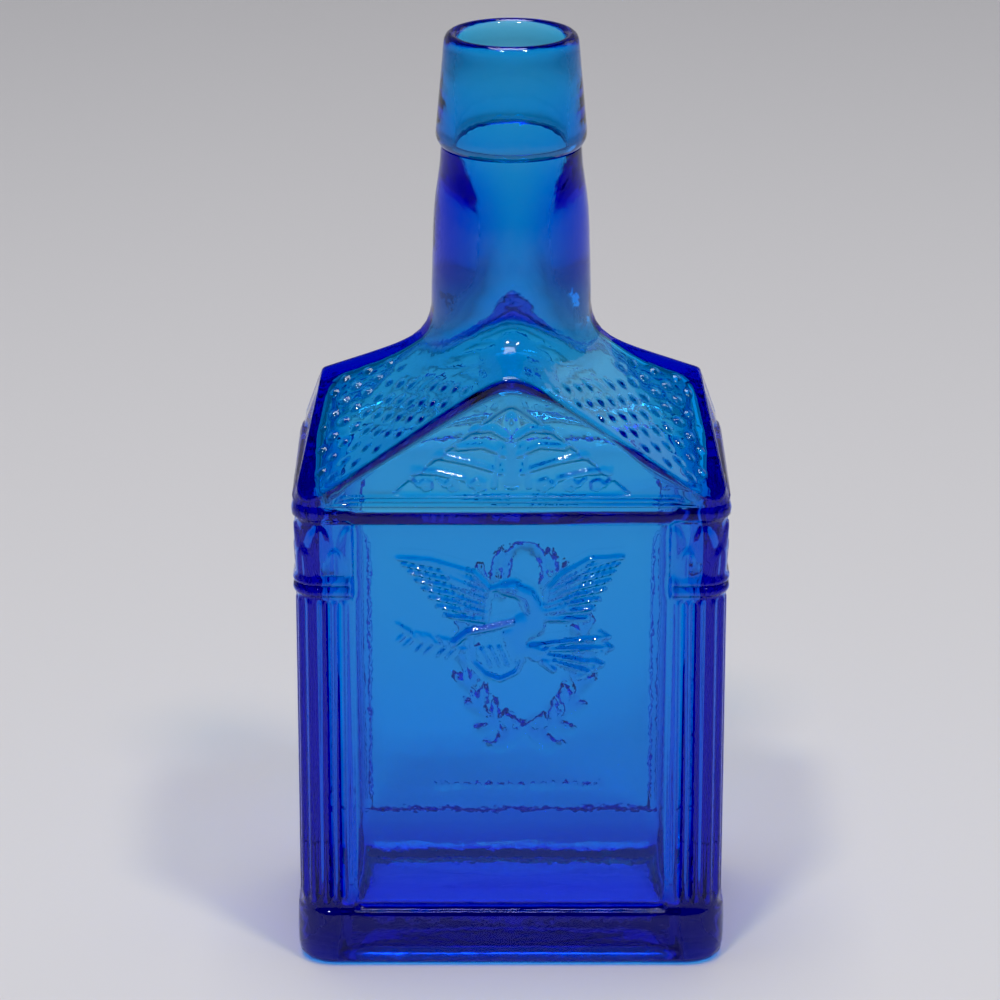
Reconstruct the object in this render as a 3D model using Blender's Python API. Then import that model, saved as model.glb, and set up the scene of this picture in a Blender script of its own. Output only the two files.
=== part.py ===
"""Temple-shaped glass bottle: plinth, panelled walls, reeded corner columns, cross-gabled shoulder,
round neck and tapered collar. Metres, +Z up, front towards -Y, origin under the middle of the base."""

import math

import bmesh
import bpy
from mathutils import Vector

# Body, from the ground up
BODY_WIDTH = 0.1150
BODY_DEPTH = 0.0705
PLINTH_HEIGHT = 0.0165
PLINTH_PROJECTION = 0.0012
PLINTH_CORNER = 0.0100
HEEL_RADIUS = 0.0040
RESTING_RING = 0.0070
PUSH_UP = 0.0020
FLOOR_THICKNESS = 0.0095
FLOOR_FILLET = 0.0060
WALL_HEIGHT = 0.1137
CORNICE_HEIGHT = 0.0038
CORNICE_PROJECTION = 0.0012
CORNICE_STEP = 0.0012

# Walls and corner columns
PANEL_RECESS = 0.0016
PANEL_THICKNESS = 0.0038
PANEL_MARGIN = 0.0050
PANEL_DISH = 0.0004
CAVITY_CORNER = 0.0080
COLUMN_WIDTH = 0.0147
COLUMN_CORNER = 0.0060
REED_COUNT = 8
REED_HEIGHT = 0.0007
COLUMN_FOOT_HEIGHT = 0.0030
ASTRAGAL_HEIGHT = 0.0045
ASTRAGAL_SWELL = 0.0009
CAPITAL_HEIGHT = 0.0160
CAPITAL_SWELL = 0.0010

# Roof-shaped shoulder
PEDIMENT_RISE = 0.0354
PEDIMENT_THICKNESS = 0.0040
PEDIMENT_SLOPE = 0.72
PEDIMENT_BLUNTING = 0.0060
SIDE_GABLE_RISE = 0.0270
SIDE_GABLE_LEAN = 0.0071
SIDE_GABLE_THICKNESS = 0.0040
SIDE_GABLE_BLUNTING = 0.0015
FRONT_RIDGE_SLOPE = 0.44
SIDE_RIDGE_SLOPE = 0.33
ROOF_THICKNESS = 0.0050
GABLE_END_HEIGHT = 0.0010
GABLE_BORDER = 0.0032
GABLE_RECESS = 0.0012

# Neck and collar
NECK_HEIGHT = 0.0898
NECK_TOP_RADIUS = 0.0187
NECK_WAIST_RADIUS = 0.0204
NECK_LOW_RADIUS = 0.0213
NECK_FLARE = 0.0052
NECK_FILLET = 0.0060
ROOF_BRIDGE = 0.0020
BORE_RADIUS = 0.0130
COLLAR_HEIGHT = 0.0302
COLLAR_BOTTOM_RADIUS = 0.0201
COLLAR_TOP_RADIUS = 0.0176
COLLAR_BORE_RADIUS = 0.0152
COLLAR_BEVEL = 0.0027
MOUTH_RADIUS = 0.0139
LIP_ROUNDING = 0.0014
ROUND_SEGMENTS = 32

# Raised ornament
RELIEF_HEIGHT = 0.0009
EAGLE_CENTRE_HEIGHT = 0.0860
WREATH_CENTRE_HEIGHT = 0.0520
WREATH_HALF_WIDTH = 0.0200
WREATH_HALF_HEIGHT = 0.0290
WREATH_BAND = 0.0045
PALMETTE_HEIGHT = 0.0160

# Clearance left between neighbouring pieces of glass
SEAM_GAP = 0.0003

AZURE = (0.010, 0.190, 0.560)
PALE_AZURE = (0.040, 0.320, 0.640)
DEEP_COBALT = (0.010, 0.040, 0.330)
GLASS_ROUGHNESS = 0.03

HALF_WIDTH = BODY_WIDTH / 2
HALF_DEPTH = BODY_DEPTH / 2
CAVITY_HALF_WIDTH = HALF_WIDTH - PANEL_RECESS - PANEL_THICKNESS
CAVITY_HALF_DEPTH = HALF_DEPTH - PANEL_RECESS - PANEL_THICKNESS
EAVE_HALF_WIDTH = HALF_WIDTH + CORNICE_PROJECTION
EAVE_HALF_DEPTH = HALF_DEPTH + CORNICE_PROJECTION
CORNICE_BOTTOM = PLINTH_HEIGHT + WALL_HEIGHT
EAVE_HEIGHT = CORNICE_BOTTOM + CORNICE_HEIGHT
COLLAR_BOTTOM = EAVE_HEIGHT + NECK_HEIGHT
OVERALL_HEIGHT = COLLAR_BOTTOM + COLLAR_HEIGHT
ROOF_END = EAVE_HALF_DEPTH - PEDIMENT_THICKNESS - SEAM_GAP
# The flare stops where it would leave less than the bridge between the neck and a pediment
NECK_FOOT_RADIUS = min(NECK_LOW_RADIUS + NECK_FLARE, ROOF_END - ROOF_BRIDGE)


def clear_scene():
    for leftover in list(bpy.data.objects):
        bpy.data.objects.remove(leftover, do_unlink=True)


def glass_material(name, colour):
    material = bpy.data.materials.new(name)
    material.use_nodes = True
    shader = material.node_tree.nodes["Principled BSDF"]
    shader.inputs["Base Color"].default_value = (*colour, 1.0)
    shader.inputs["Roughness"].default_value = GLASS_ROUGHNESS
    shader.inputs["Metallic"].default_value = 0.0
    shader.inputs["Transmission Weight"].default_value = 1.0
    return material


def add_part(name, mesh_data, colour, smooth=False):
    """Turn a bmesh into a named object that has its own glass material."""
    bmesh.ops.recalc_face_normals(mesh_data, faces=mesh_data.faces)
    mesh = bpy.data.meshes.new(name)
    mesh_data.to_mesh(mesh)
    mesh_data.free()
    part = bpy.data.objects.new(name, mesh)
    bpy.context.scene.collection.objects.link(part)
    mesh.materials.append(glass_material(name + "_glass", colour))
    if smooth:
        mesh.shade_smooth()
        mesh.set_sharp_from_angle(angle=math.radians(35))
    return part


def add_cutter(name, mesh_data):
    cutter = add_part(name, mesh_data, DEEP_COBALT)
    cutter.hide_render = True
    cutter.display_type = "WIRE"
    return cutter


def add_boolean(part, cutter, operation):
    modifier = part.modifiers.new(operation.title() + "_" + cutter.name, "BOOLEAN")
    modifier.operation = operation
    modifier.solver = "EXACT"
    modifier.object = cutter


def arc(centre_x, centre_y, radius, start, end, steps):
    """Points on an arc, angles in quarter turns, both ends included."""
    points = []
    for step in range(steps + 1):
        angle = math.pi / 2 * (start + (end - start) * step / steps)
        points.append((centre_x + radius * math.cos(angle), centre_y + radius * math.sin(angle)))
    return points


def rounded_rectangle(half_width, half_depth, corner, steps=4):
    points = []
    for quarter, (side_x, side_y) in enumerate(((1, 1), (-1, 1), (-1, -1), (1, -1))):
        centre_x = side_x * (half_width - corner)
        centre_y = side_y * (half_depth - corner)
        points += arc(centre_x, centre_y, corner, quarter, quarter + 1, steps)
    return points


def circle(radius):
    turns = (2 * math.pi * step / ROUND_SEGMENTS for step in range(ROUND_SEGMENTS))
    return [(radius * math.cos(turn), radius * math.sin(turn)) for turn in turns]


def level(outline, height):
    return [(x, y, height) for x, y in outline]


def loft(rings, ring_shaped=False):
    """Skin a stack of equally long point loops. A ring-shaped body joins its last loop to its first."""
    body = bmesh.new()
    loops = [[body.verts.new(point) for point in ring] for ring in rings]
    pairs = list(zip(loops, loops[1:]))
    if ring_shaped:
        pairs.append((loops[-1], loops[0]))
    for lower, upper in pairs:
        for index in range(len(lower)):
            following = (index + 1) % len(lower)
            body.faces.new((lower[index], lower[following], upper[following], upper[index]))
    if not ring_shaped:
        body.faces.new(reversed(loops[0]))
        body.faces.new(loops[-1])
    return body


def cut_block(low, high, planes):
    """A box trimmed by planes, each given as a point on the plane and its outward normal."""
    block = bmesh.new()
    bmesh.ops.create_cube(block, size=1.0)
    for vertex in block.verts:
        vertex.co = Vector(high[i] if vertex.co[i] > 0 else low[i] for i in range(3))
    for point, normal in planes:
        geometry = block.verts[:] + block.edges[:] + block.faces[:]
        bmesh.ops.bisect_plane(block, geom=geometry, plane_co=point, plane_no=normal, clear_outer=True)
        rim = [edge for edge in block.edges if edge.is_boundary]
        if rim:
            bmesh.ops.holes_fill(block, edges=rim, sides=0)
    return block


# Base: one thick slab with a rounded heel, a shallow push-up below and the dished floor above
def make_base():
    half_width = HALF_WIDTH + PLINTH_PROJECTION
    half_depth = HALF_DEPTH + PLINTH_PROJECTION

    def outside(inset, height):
        corner = max(PLINTH_CORNER - inset, 0.002)
        return level(rounded_rectangle(half_width - inset, half_depth - inset, corner), height)

    def inside(inset, height):
        corner = max(CAVITY_CORNER - inset, 0.002)
        outline = rounded_rectangle(CAVITY_HALF_WIDTH - inset, CAVITY_HALF_DEPTH - inset, corner)
        return level(outline, height)

    ring_inner = HEEL_RADIUS + RESTING_RING
    rings = [outside(ring_inner + 2 * PUSH_UP, PUSH_UP), outside(ring_inner, 0.0)]
    for step in range(5):
        angle = math.pi / 2 * step / 4
        inset = HEEL_RADIUS * (1 - math.sin(angle))
        rings.append(outside(inset, HEEL_RADIUS * (1 - math.cos(angle))))
    rings.append(outside(0.0, PLINTH_HEIGHT - PLINTH_PROJECTION / 2))
    rings.append(outside(PLINTH_PROJECTION / 2, PLINTH_HEIGHT))
    rings.append(inside(0.0, PLINTH_HEIGHT))
    fillet = min(FLOOR_FILLET, PLINTH_HEIGHT - FLOOR_THICKNESS)
    for step in range(1, 5):
        angle = math.pi / 2 * step / 4
        inset = FLOOR_FILLET * (1 - math.cos(angle))
        rings.append(inside(inset, FLOOR_THICKNESS + fillet * (1 - math.sin(angle))))
    add_part("base_plinth", loft(rings), DEEP_COBALT)


# Corner columns: convex reeds round the corner, an astragal ring and a swelling capital
def column_outline(reed_height, swell):
    """Plan of the front right column, from its front seam round the corner to its side seam and back."""
    face_x = HALF_WIDTH - REED_HEIGHT
    face_y = -HALF_DEPTH + REED_HEIGHT
    straight = COLUMN_WIDTH - COLUMN_CORNER
    bend = COLUMN_CORNER * math.pi / 2
    count = REED_COUNT * 4
    points = []
    for step in range(count + 1):
        travel = (2 * straight + bend) * step / count
        turn = min(max(travel - straight, 0.0) / bend, 1.0) * math.pi / 2
        normal = (math.sin(turn), -math.cos(turn))
        x = HALF_WIDTH - COLUMN_WIDTH + min(travel, straight)
        y = face_y
        if travel > straight:
            x = face_x - COLUMN_CORNER + COLUMN_CORNER * math.sin(turn) + REED_HEIGHT * (1 - math.sin(turn))
            y = face_y + COLUMN_CORNER * (1 - math.cos(turn))
        if travel > straight + bend:
            y = face_y + COLUMN_CORNER + travel - straight - bend
        offset = swell + reed_height * abs(math.sin(math.pi * REED_COUNT * step / count))
        points.append((x + normal[0] * offset, y + normal[1] * offset))
    side_end = -HALF_DEPTH + COLUMN_WIDTH
    points[-1] = (points[-1][0], side_end)
    centre_x = CAVITY_HALF_WIDTH - CAVITY_CORNER
    centre_y = -CAVITY_HALF_DEPTH + CAVITY_CORNER
    points.append((CAVITY_HALF_WIDTH, side_end))
    points += arc(centre_x, centre_y, CAVITY_CORNER, 0, -1, 4)
    points.append((HALF_WIDTH - COLUMN_WIDTH, -CAVITY_HALF_DEPTH))
    return points


def make_column(name, side_x, side_y):
    bottom = PLINTH_HEIGHT + SEAM_GAP
    top = CORNICE_BOTTOM - SEAM_GAP
    capital = top - CAPITAL_HEIGHT
    astragal = capital - ASTRAGAL_HEIGHT
    plain = REED_HEIGHT / 2
    stations = [
        (bottom, 0.0, plain),
        (bottom + COLUMN_FOOT_HEIGHT * 0.6, 0.0, plain),
        (bottom + COLUMN_FOOT_HEIGHT, REED_HEIGHT, 0.0),
        (astragal - ASTRAGAL_HEIGHT / 4, REED_HEIGHT, 0.0),
        (astragal, 0.0, plain),
        (astragal + ASTRAGAL_HEIGHT / 2, 0.0, ASTRAGAL_SWELL),
        (capital, 0.0, plain),
        (capital + CAPITAL_HEIGHT / 2, 0.0, CAPITAL_SWELL),
        (top - CAPITAL_HEIGHT / 6, 0.0, CAPITAL_SWELL),
        (top, 0.0, plain),
    ]
    rings = []
    for height, reed_height, swell in stations:
        outline = column_outline(reed_height, swell)
        rings.append([(side_x * x, -side_y * y, height) for x, y in outline])
    add_part(name, loft(rings), AZURE)


# Wall panels: slabs set back between the columns, each with a very slightly dished face
def make_panel(name, half_length, outer_face, to_world):
    """outer_face is the panel's distance from the axis; to_world maps (along, outward, height)."""
    bottom = PLINTH_HEIGHT + SEAM_GAP
    top = CORNICE_BOTTOM - SEAM_GAP

    def border(inset, outward):
        corners = (
            (-half_length + inset, bottom + inset),
            (half_length - inset, bottom + inset),
            (half_length - inset, top - inset),
            (-half_length + inset, top - inset),
        )
        return [to_world(along, outward, height) for along, height in corners]

    rings = [
        border(0.0, outer_face - PANEL_THICKNESS),
        border(0.0, outer_face),
        border(PANEL_MARGIN, outer_face),
        border(PANEL_MARGIN + PANEL_DISH, outer_face - PANEL_DISH),
    ]
    add_part(name, loft(rings), AZURE)


def make_panels():
    long_half = HALF_WIDTH - COLUMN_WIDTH - SEAM_GAP
    short_half = HALF_DEPTH - COLUMN_WIDTH - SEAM_GAP
    face_y = HALF_DEPTH - PANEL_RECESS
    face_x = HALF_WIDTH - PANEL_RECESS
    make_panel("panel_front", long_half, face_y, lambda along, out, height: (along, -out, height))
    make_panel("panel_back", long_half, face_y, lambda along, out, height: (-along, out, height))
    make_panel("panel_left", short_half, face_x, lambda along, out, height: (-out, -along, height))
    make_panel("panel_right", short_half, face_x, lambda along, out, height: (out, along, height))


# Cornice: the band that ties the walls together under the roof
def make_cornice():
    bottom = CORNICE_BOTTOM
    top = EAVE_HEIGHT
    corner = COLUMN_CORNER + CORNICE_PROJECTION

    def outside(inset, height):
        half_width = EAVE_HALF_WIDTH - inset
        half_depth = EAVE_HALF_DEPTH - inset
        return level(rounded_rectangle(half_width, half_depth, corner - inset), height)

    def inside(height):
        return level(rounded_rectangle(CAVITY_HALF_WIDTH, CAVITY_HALF_DEPTH, CAVITY_CORNER), height)

    rings = [
        inside(bottom),
        outside(CORNICE_PROJECTION, bottom),
        outside(0.0, bottom + CORNICE_STEP),
        outside(0.0, top - CORNICE_STEP / 2),
        outside(CORNICE_STEP / 2, top),
        inside(top),
    ]
    add_part("cornice", loft(rings, ring_shaped=True), AZURE)


# Roof: two crossing gables with blunt ridges that climb towards the neck
def main_roof_height(x, y):
    ridge = EAVE_HEIGHT + PEDIMENT_RISE + FRONT_RIDGE_SLOPE * (EAVE_HALF_DEPTH - abs(y))
    return ridge - PEDIMENT_SLOPE * max(abs(x) - PEDIMENT_BLUNTING, 0.0)


def side_roof_height(x, y):
    apex_x = EAVE_HALF_WIDTH - SIDE_GABLE_LEAN
    fall = SIDE_GABLE_RISE - SIDE_RIDGE_SLOPE * SIDE_GABLE_LEAN
    slope = fall / (EAVE_HALF_DEPTH - SIDE_GABLE_BLUNTING)
    ridge = EAVE_HEIGHT + SIDE_GABLE_RISE + SIDE_RIDGE_SLOPE * (apex_x - abs(x))
    return ridge - slope * max(abs(y) - SIDE_GABLE_BLUNTING, 0.0)


def roof_height(x, y):
    return max(main_roof_height(x, y), side_roof_height(x, y))


def roof_planes(height_function, drop):
    """The slopes and blunt ridges of one gable pair, lowered by drop, as cutting planes."""
    step = 0.01
    planes = []
    for side_x in (-1, 1):
        for side_y in (-1, 1):
            for x, y in ((step, step), (0.0, step), (step, 0.0)):
                height = height_function(x, y)
                # A step outwards on a slope, or a step along the flat where the ridge is blunt
                reach_x = step if x else PEDIMENT_BLUNTING / 2
                reach_y = step if y else SIDE_GABLE_BLUNTING / 2
                along_x = Vector((side_x * reach_x, 0, height_function(x + reach_x, y) - height))
                along_y = Vector((0, side_y * reach_y, height_function(x, y + reach_y) - height))
                normal = along_x.cross(along_y)
                if normal.z < 0:
                    normal.negate()
                planes.append((Vector((side_x * x, side_y * y, height - drop)), normal))
    return planes


def leaning_planes(inset):
    """The two end planes that follow the leaning side gables, moved inwards by inset."""
    planes = []
    for side in (-1, 1):
        point = Vector((side * (EAVE_HALF_WIDTH - inset), 0, EAVE_HEIGHT))
        planes.append((point, Vector((side * SIDE_GABLE_RISE, 0, SIDE_GABLE_LEAN))))
    return planes


def make_roof():
    top = EAVE_HEIGHT + 2 * PEDIMENT_RISE
    bottom = EAVE_HEIGHT + SEAM_GAP
    ends = leaning_planes(SIDE_GABLE_THICKNESS + SEAM_GAP)
    low = (-EAVE_HALF_WIDTH, -ROOF_END, bottom)
    high = (EAVE_HALF_WIDTH, ROOF_END, top)
    wide_low = (-2 * EAVE_HALF_WIDTH, -2 * EAVE_HALF_DEPTH, EAVE_HEIGHT - ROOF_THICKNESS)
    wide_high = (2 * EAVE_HALF_WIDTH, 2 * EAVE_HALF_DEPTH, top)
    main_block = cut_block(low, high, roof_planes(main_roof_height, 0.0) + ends)
    side_block = cut_block(low, high, roof_planes(side_roof_height, 0.0) + ends)
    main_hollow = cut_block(wide_low, wide_high, roof_planes(main_roof_height, ROOF_THICKNESS))
    side_hollow = cut_block(wide_low, wide_high, roof_planes(side_roof_height, ROOF_THICKNESS))
    hole = circle(NECK_FOOT_RADIUS + SEAM_GAP)
    neck_hole = loft([level(hole, EAVE_HEIGHT + ROOF_THICKNESS), level(hole, top)])
    roof = add_part("roof_shoulder", main_block, AZURE)
    add_boolean(roof, add_cutter("side_wings", side_block), "UNION")
    add_boolean(roof, add_cutter("main_hollow", main_hollow), "DIFFERENCE")
    add_boolean(roof, add_cutter("side_hollow", side_hollow), "DIFFERENCE")
    add_boolean(roof, add_cutter("neck_hole", neck_hole), "DIFFERENCE")


def gable_outline(half_base, rise, blunting, end_height, border):
    """A low triangle with blunt ends and a blunt top, moved in from its edges by border."""
    slope = rise / (half_base - blunting)
    slant = border * math.hypot(1.0, slope)
    end = half_base - (border + end_height + slant) / slope
    top = blunting - (slant - border) / slope
    shoulder = border + end_height
    return [
        (-end, border),
        (end, border),
        (end, shoulder),
        (top, rise - border),
        (-top, rise - border),
        (-end, shoulder),
    ]


def make_gable_slab(name, outline_of, climb, to_world):
    """A gable wall with a raised border round its face; to_world maps (along, height, depth)."""
    outline = outline_of(0.0)
    back = [(along, height + (climb if height > 0 else 0.0)) for along, height in outline]
    border = outline_of(GABLE_BORDER)
    field = outline_of(GABLE_BORDER + GABLE_RECESS / 2)
    stations = [(back, 1.0, 0.0), (outline, 0.0, 0.0), (border, 0.0, 0.0), (field, 0.0, GABLE_RECESS)]
    rings = []
    for points, through, depth in stations:
        ring = [to_world(along, height + EAVE_HEIGHT + SEAM_GAP, through, depth) for along, height in points]
        rings.append(ring)
    add_part(name, loft(rings), PALE_AZURE)


def make_pediment(name, side):
    half_base = PEDIMENT_BLUNTING + PEDIMENT_RISE / PEDIMENT_SLOPE

    def outline_of(border):
        return gable_outline(half_base, PEDIMENT_RISE - SEAM_GAP, PEDIMENT_BLUNTING, GABLE_END_HEIGHT, border)

    def to_world(along, height, through, depth):
        return (along, side * (EAVE_HALF_DEPTH - through * PEDIMENT_THICKNESS - depth), height)

    make_gable_slab(name, outline_of, FRONT_RIDGE_SLOPE * PEDIMENT_THICKNESS, to_world)


def make_side_gable(name, side):
    end_height = SIDE_GABLE_RISE * (1 - ROOF_END / EAVE_HALF_DEPTH)

    def outline_of(border):
        rise = SIDE_GABLE_RISE - SEAM_GAP
        return gable_outline(EAVE_HALF_DEPTH, rise, SIDE_GABLE_BLUNTING, end_height, border)

    def to_world(along, height, through, depth):
        lean = SIDE_GABLE_LEAN * (height - EAVE_HEIGHT) / SIDE_GABLE_RISE
        return (side * (EAVE_HALF_WIDTH - lean - through * SIDE_GABLE_THICKNESS - depth), along, height)

    make_gable_slab(name, outline_of, SIDE_RIDGE_SLOPE * SIDE_GABLE_THICKNESS, to_world)


# Neck: a thick tube that swells downwards and flares into the roof
def make_neck():
    top = COLLAR_BOTTOM - SEAM_GAP
    fillet_top = roof_height(0, NECK_LOW_RADIUS) + NECK_FILLET
    bore_bottom = fillet_top - NECK_FILLET

    def roof_ring(radius, drop):
        return [(x, y, roof_height(x, y) - drop) for x, y in circle(radius)]

    def blended_ring(radius, height, share):
        """A ring part of the way from level at height to lying on the roof."""
        return [(x, y, height + (roof_height(x, y) - height) * share) for x, y in circle(radius)]

    spread = NECK_FOOT_RADIUS - NECK_LOW_RADIUS
    rings = [
        level(circle(COLLAR_BORE_RADIUS), top),
        level(circle(NECK_TOP_RADIUS), top),
        level(circle(NECK_TOP_RADIUS), top - NECK_FILLET),
        level(circle(NECK_WAIST_RADIUS), top - 3 * NECK_FILLET),
        level(circle(NECK_LOW_RADIUS), fillet_top + NECK_FILLET),
        level(circle(NECK_LOW_RADIUS), fillet_top),
        blended_ring(NECK_LOW_RADIUS + spread * 0.1, fillet_top - NECK_FILLET * 0.4, 0.2),
        blended_ring(NECK_LOW_RADIUS + spread * 0.4, fillet_top - NECK_FILLET * 0.8, 0.6),
        roof_ring(NECK_FOOT_RADIUS, 0.0),
        roof_ring(NECK_FOOT_RADIUS, ROOF_THICKNESS),
        blended_ring((BORE_RADIUS + NECK_FOOT_RADIUS) / 2, bore_bottom - ROOF_THICKNESS, 0.3),
        level(circle(BORE_RADIUS + spread * 0.3), bore_bottom),
        level(circle(BORE_RADIUS), bore_bottom + NECK_FILLET),
        level(circle(BORE_RADIUS), top - 3 * NECK_FILLET),
        level(circle(COLLAR_BORE_RADIUS), top - NECK_FILLET),
    ]
    add_part("neck", loft(rings, ring_shaped=True), AZURE, smooth=True)


# Collar: the tapered ring laid round the mouth, with a rounded lip and a bevelled lower edge
def make_collar():
    bottom = COLLAR_BOTTOM
    top = OVERALL_HEIGHT
    taper = (COLLAR_BOTTOM_RADIUS - COLLAR_TOP_RADIUS) / (COLLAR_HEIGHT - COLLAR_BEVEL)
    near_lip = COLLAR_TOP_RADIUS + taper * LIP_ROUNDING
    profile = [
        (COLLAR_BORE_RADIUS, bottom),
        (NECK_TOP_RADIUS, bottom),
        ((NECK_TOP_RADIUS + COLLAR_BOTTOM_RADIUS * 2) / 3, bottom + COLLAR_BEVEL * 0.4),
        (COLLAR_BOTTOM_RADIUS, bottom + COLLAR_BEVEL),
        (near_lip, top - LIP_ROUNDING),
        (near_lip - LIP_ROUNDING * 0.3, top - LIP_ROUNDING * 0.3),
        (near_lip - LIP_ROUNDING, top),
        (MOUTH_RADIUS + LIP_ROUNDING * 0.7, top),
        (MOUTH_RADIUS, top - LIP_ROUNDING * 0.7),
        (MOUTH_RADIUS, top - 3 * LIP_ROUNDING),
        (COLLAR_BORE_RADIUS, top - 7 * LIP_ROUNDING),
    ]
    rings = [level(circle(radius), height) for radius, height in profile]
    add_part("collar", loft(rings, ring_shaped=True), PALE_AZURE, smooth=True)


# Ornament: raised figures just proud of the recessed faces
def make_relief(name, outline, face_y, side, colour):
    """Extrude a flat outline, given as (across, height) seen from outside, off a front or back face."""
    near = side * (face_y + SEAM_GAP)
    far = side * (face_y + SEAM_GAP + RELIEF_HEIGHT)
    rings = [[(-side * across, y, height) for across, height in outline] for y in (near, far)]
    add_part(name, loft(rings), colour)


def eagle_outline():
    """A spread eagle seen from the front: raised wings, head turned aside, tail below."""
    half = [
        (0.0020, 0.0225), (0.0045, 0.0205), (0.0060, 0.0165), (0.0085, 0.0200), (0.0150, 0.0260),
        (0.0230, 0.0310), (0.0300, 0.0340), (0.0290, 0.0300), (0.0255, 0.0270), (0.0280, 0.0255),
        (0.0225, 0.0215), (0.0240, 0.0195), (0.0180, 0.0155), (0.0190, 0.0135), (0.0130, 0.0100),
        (0.0085, 0.0060), (0.0075, 0.0000), (0.0100, -0.0040), (0.0040, -0.0035),
        (0.0070, -0.0120), (0.0000, -0.0135),
    ]
    left = [(-across, height) for across, height in reversed(half[:-1])]
    beak = [(-0.0050, 0.0240), (-0.0015, 0.0260)]
    points = half + left[:-1] + beak
    return [(across, EAGLE_CENTRE_HEIGHT + height) for across, height in points]


def wreath_outline():
    """A wreath open at the top, as one bent band with leaf-like waves on its outer edge."""
    steps = 28
    opening = math.radians(24)
    outer = []
    inner = []
    for step in range(steps + 1):
        angle = math.pi / 2 + opening + (2 * math.pi - 2 * opening) * step / steps
        wave = 0.25 * WREATH_BAND * (step % 2)
        outer.append((
            (WREATH_HALF_WIDTH + wave) * math.cos(angle),
            WREATH_CENTRE_HEIGHT + (WREATH_HALF_HEIGHT + wave) * math.sin(angle),
        ))
        inner.append((
            (WREATH_HALF_WIDTH - WREATH_BAND) * math.cos(angle),
            WREATH_CENTRE_HEIGHT + (WREATH_HALF_HEIGHT - WREATH_BAND) * math.sin(angle),
        ))
    return outer + inner[::-1]


def palmette_outline():
    """A fan of five lobes on a flat foot, standing in the gable."""
    foot = EAVE_HEIGHT + GABLE_BORDER + 2 * GABLE_RECESS + SEAM_GAP
    steps = 20
    points = []
    for step in range(steps + 1):
        angle = math.pi * step / steps
        lobe = 0.78 + 0.22 * abs(math.cos(2.5 * (angle - math.pi / 2)))
        reach = PALMETTE_HEIGHT * (0.55 + 0.45 * math.sin(angle) ** 3) * lobe
        points.append((reach * math.cos(angle), foot + reach * math.sin(angle)))
    return points


def make_ornament():
    panel_face = HALF_DEPTH - PANEL_RECESS
    tympanum_face = EAVE_HALF_DEPTH - GABLE_RECESS
    make_relief("eagle_relief", eagle_outline(), panel_face - PANEL_DISH, -1, AZURE)
    make_relief("wreath_relief", wreath_outline(), panel_face - PANEL_DISH, 1, AZURE)
    make_relief("palmette_front", palmette_outline(), tympanum_face, -1, PALE_AZURE)
    make_relief("palmette_back", palmette_outline(), tympanum_face, 1, PALE_AZURE)


clear_scene()
make_base()
for end_name, end_side in (("front", -1), ("back", 1)):
    make_column("column_" + end_name + "_left", -1, end_side)
    make_column("column_" + end_name + "_right", 1, end_side)
    make_pediment("pediment_" + end_name, end_side)
make_panels()
make_cornice()
make_side_gable("gable_left", -1)
make_side_gable("gable_right", 1)
make_roof()
make_neck()
make_collar()
make_ornament()
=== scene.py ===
import math

import bpy
import numpy as np
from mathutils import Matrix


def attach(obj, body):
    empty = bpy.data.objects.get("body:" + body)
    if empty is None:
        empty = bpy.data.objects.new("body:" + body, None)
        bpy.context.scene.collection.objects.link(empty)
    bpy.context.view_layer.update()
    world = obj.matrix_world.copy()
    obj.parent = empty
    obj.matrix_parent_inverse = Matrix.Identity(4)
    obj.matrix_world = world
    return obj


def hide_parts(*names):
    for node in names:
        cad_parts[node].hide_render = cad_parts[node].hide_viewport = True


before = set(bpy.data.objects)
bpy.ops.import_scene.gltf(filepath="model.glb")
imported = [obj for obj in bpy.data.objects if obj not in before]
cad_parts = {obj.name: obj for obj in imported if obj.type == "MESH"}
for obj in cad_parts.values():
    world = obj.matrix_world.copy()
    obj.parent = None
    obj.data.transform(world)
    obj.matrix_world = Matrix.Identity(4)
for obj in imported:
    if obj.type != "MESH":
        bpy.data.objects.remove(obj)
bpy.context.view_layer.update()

# ---------------------------------------------------------------------------------------------
# Mould plan. The body is blown in a mould with a rounded rectangular plan: four panelled walls
# between four corner columns. Every level of the body is this plan, pushed in or out, so the
# steps round the plan are laid out once. All sizes are in millimetres until the mesh is made.
# ---------------------------------------------------------------------------------------------
# A coarse cell of the skin is divided into this many steps at most
FINEST = 16
WALL_HALF_X = 55.9
WALL_HALF_Y = 33.65
WALL_CORNER = 5.0
COLUMN_RUN = 7.9
COLUMN_STEP = 1.6
CORNER_RUN = WALL_CORNER * math.pi / 2
COLUMN_LENGTH = 2 * COLUMN_RUN + CORNER_RUN
CELLS_LONG_PANEL = 20
CELLS_SHORT_PANEL = 10


def smooth_step(low, high, value):
    share = np.clip((value - low) / (high - low), 0.0, 1.0)
    return share * share * (3 - 2 * share)


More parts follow.
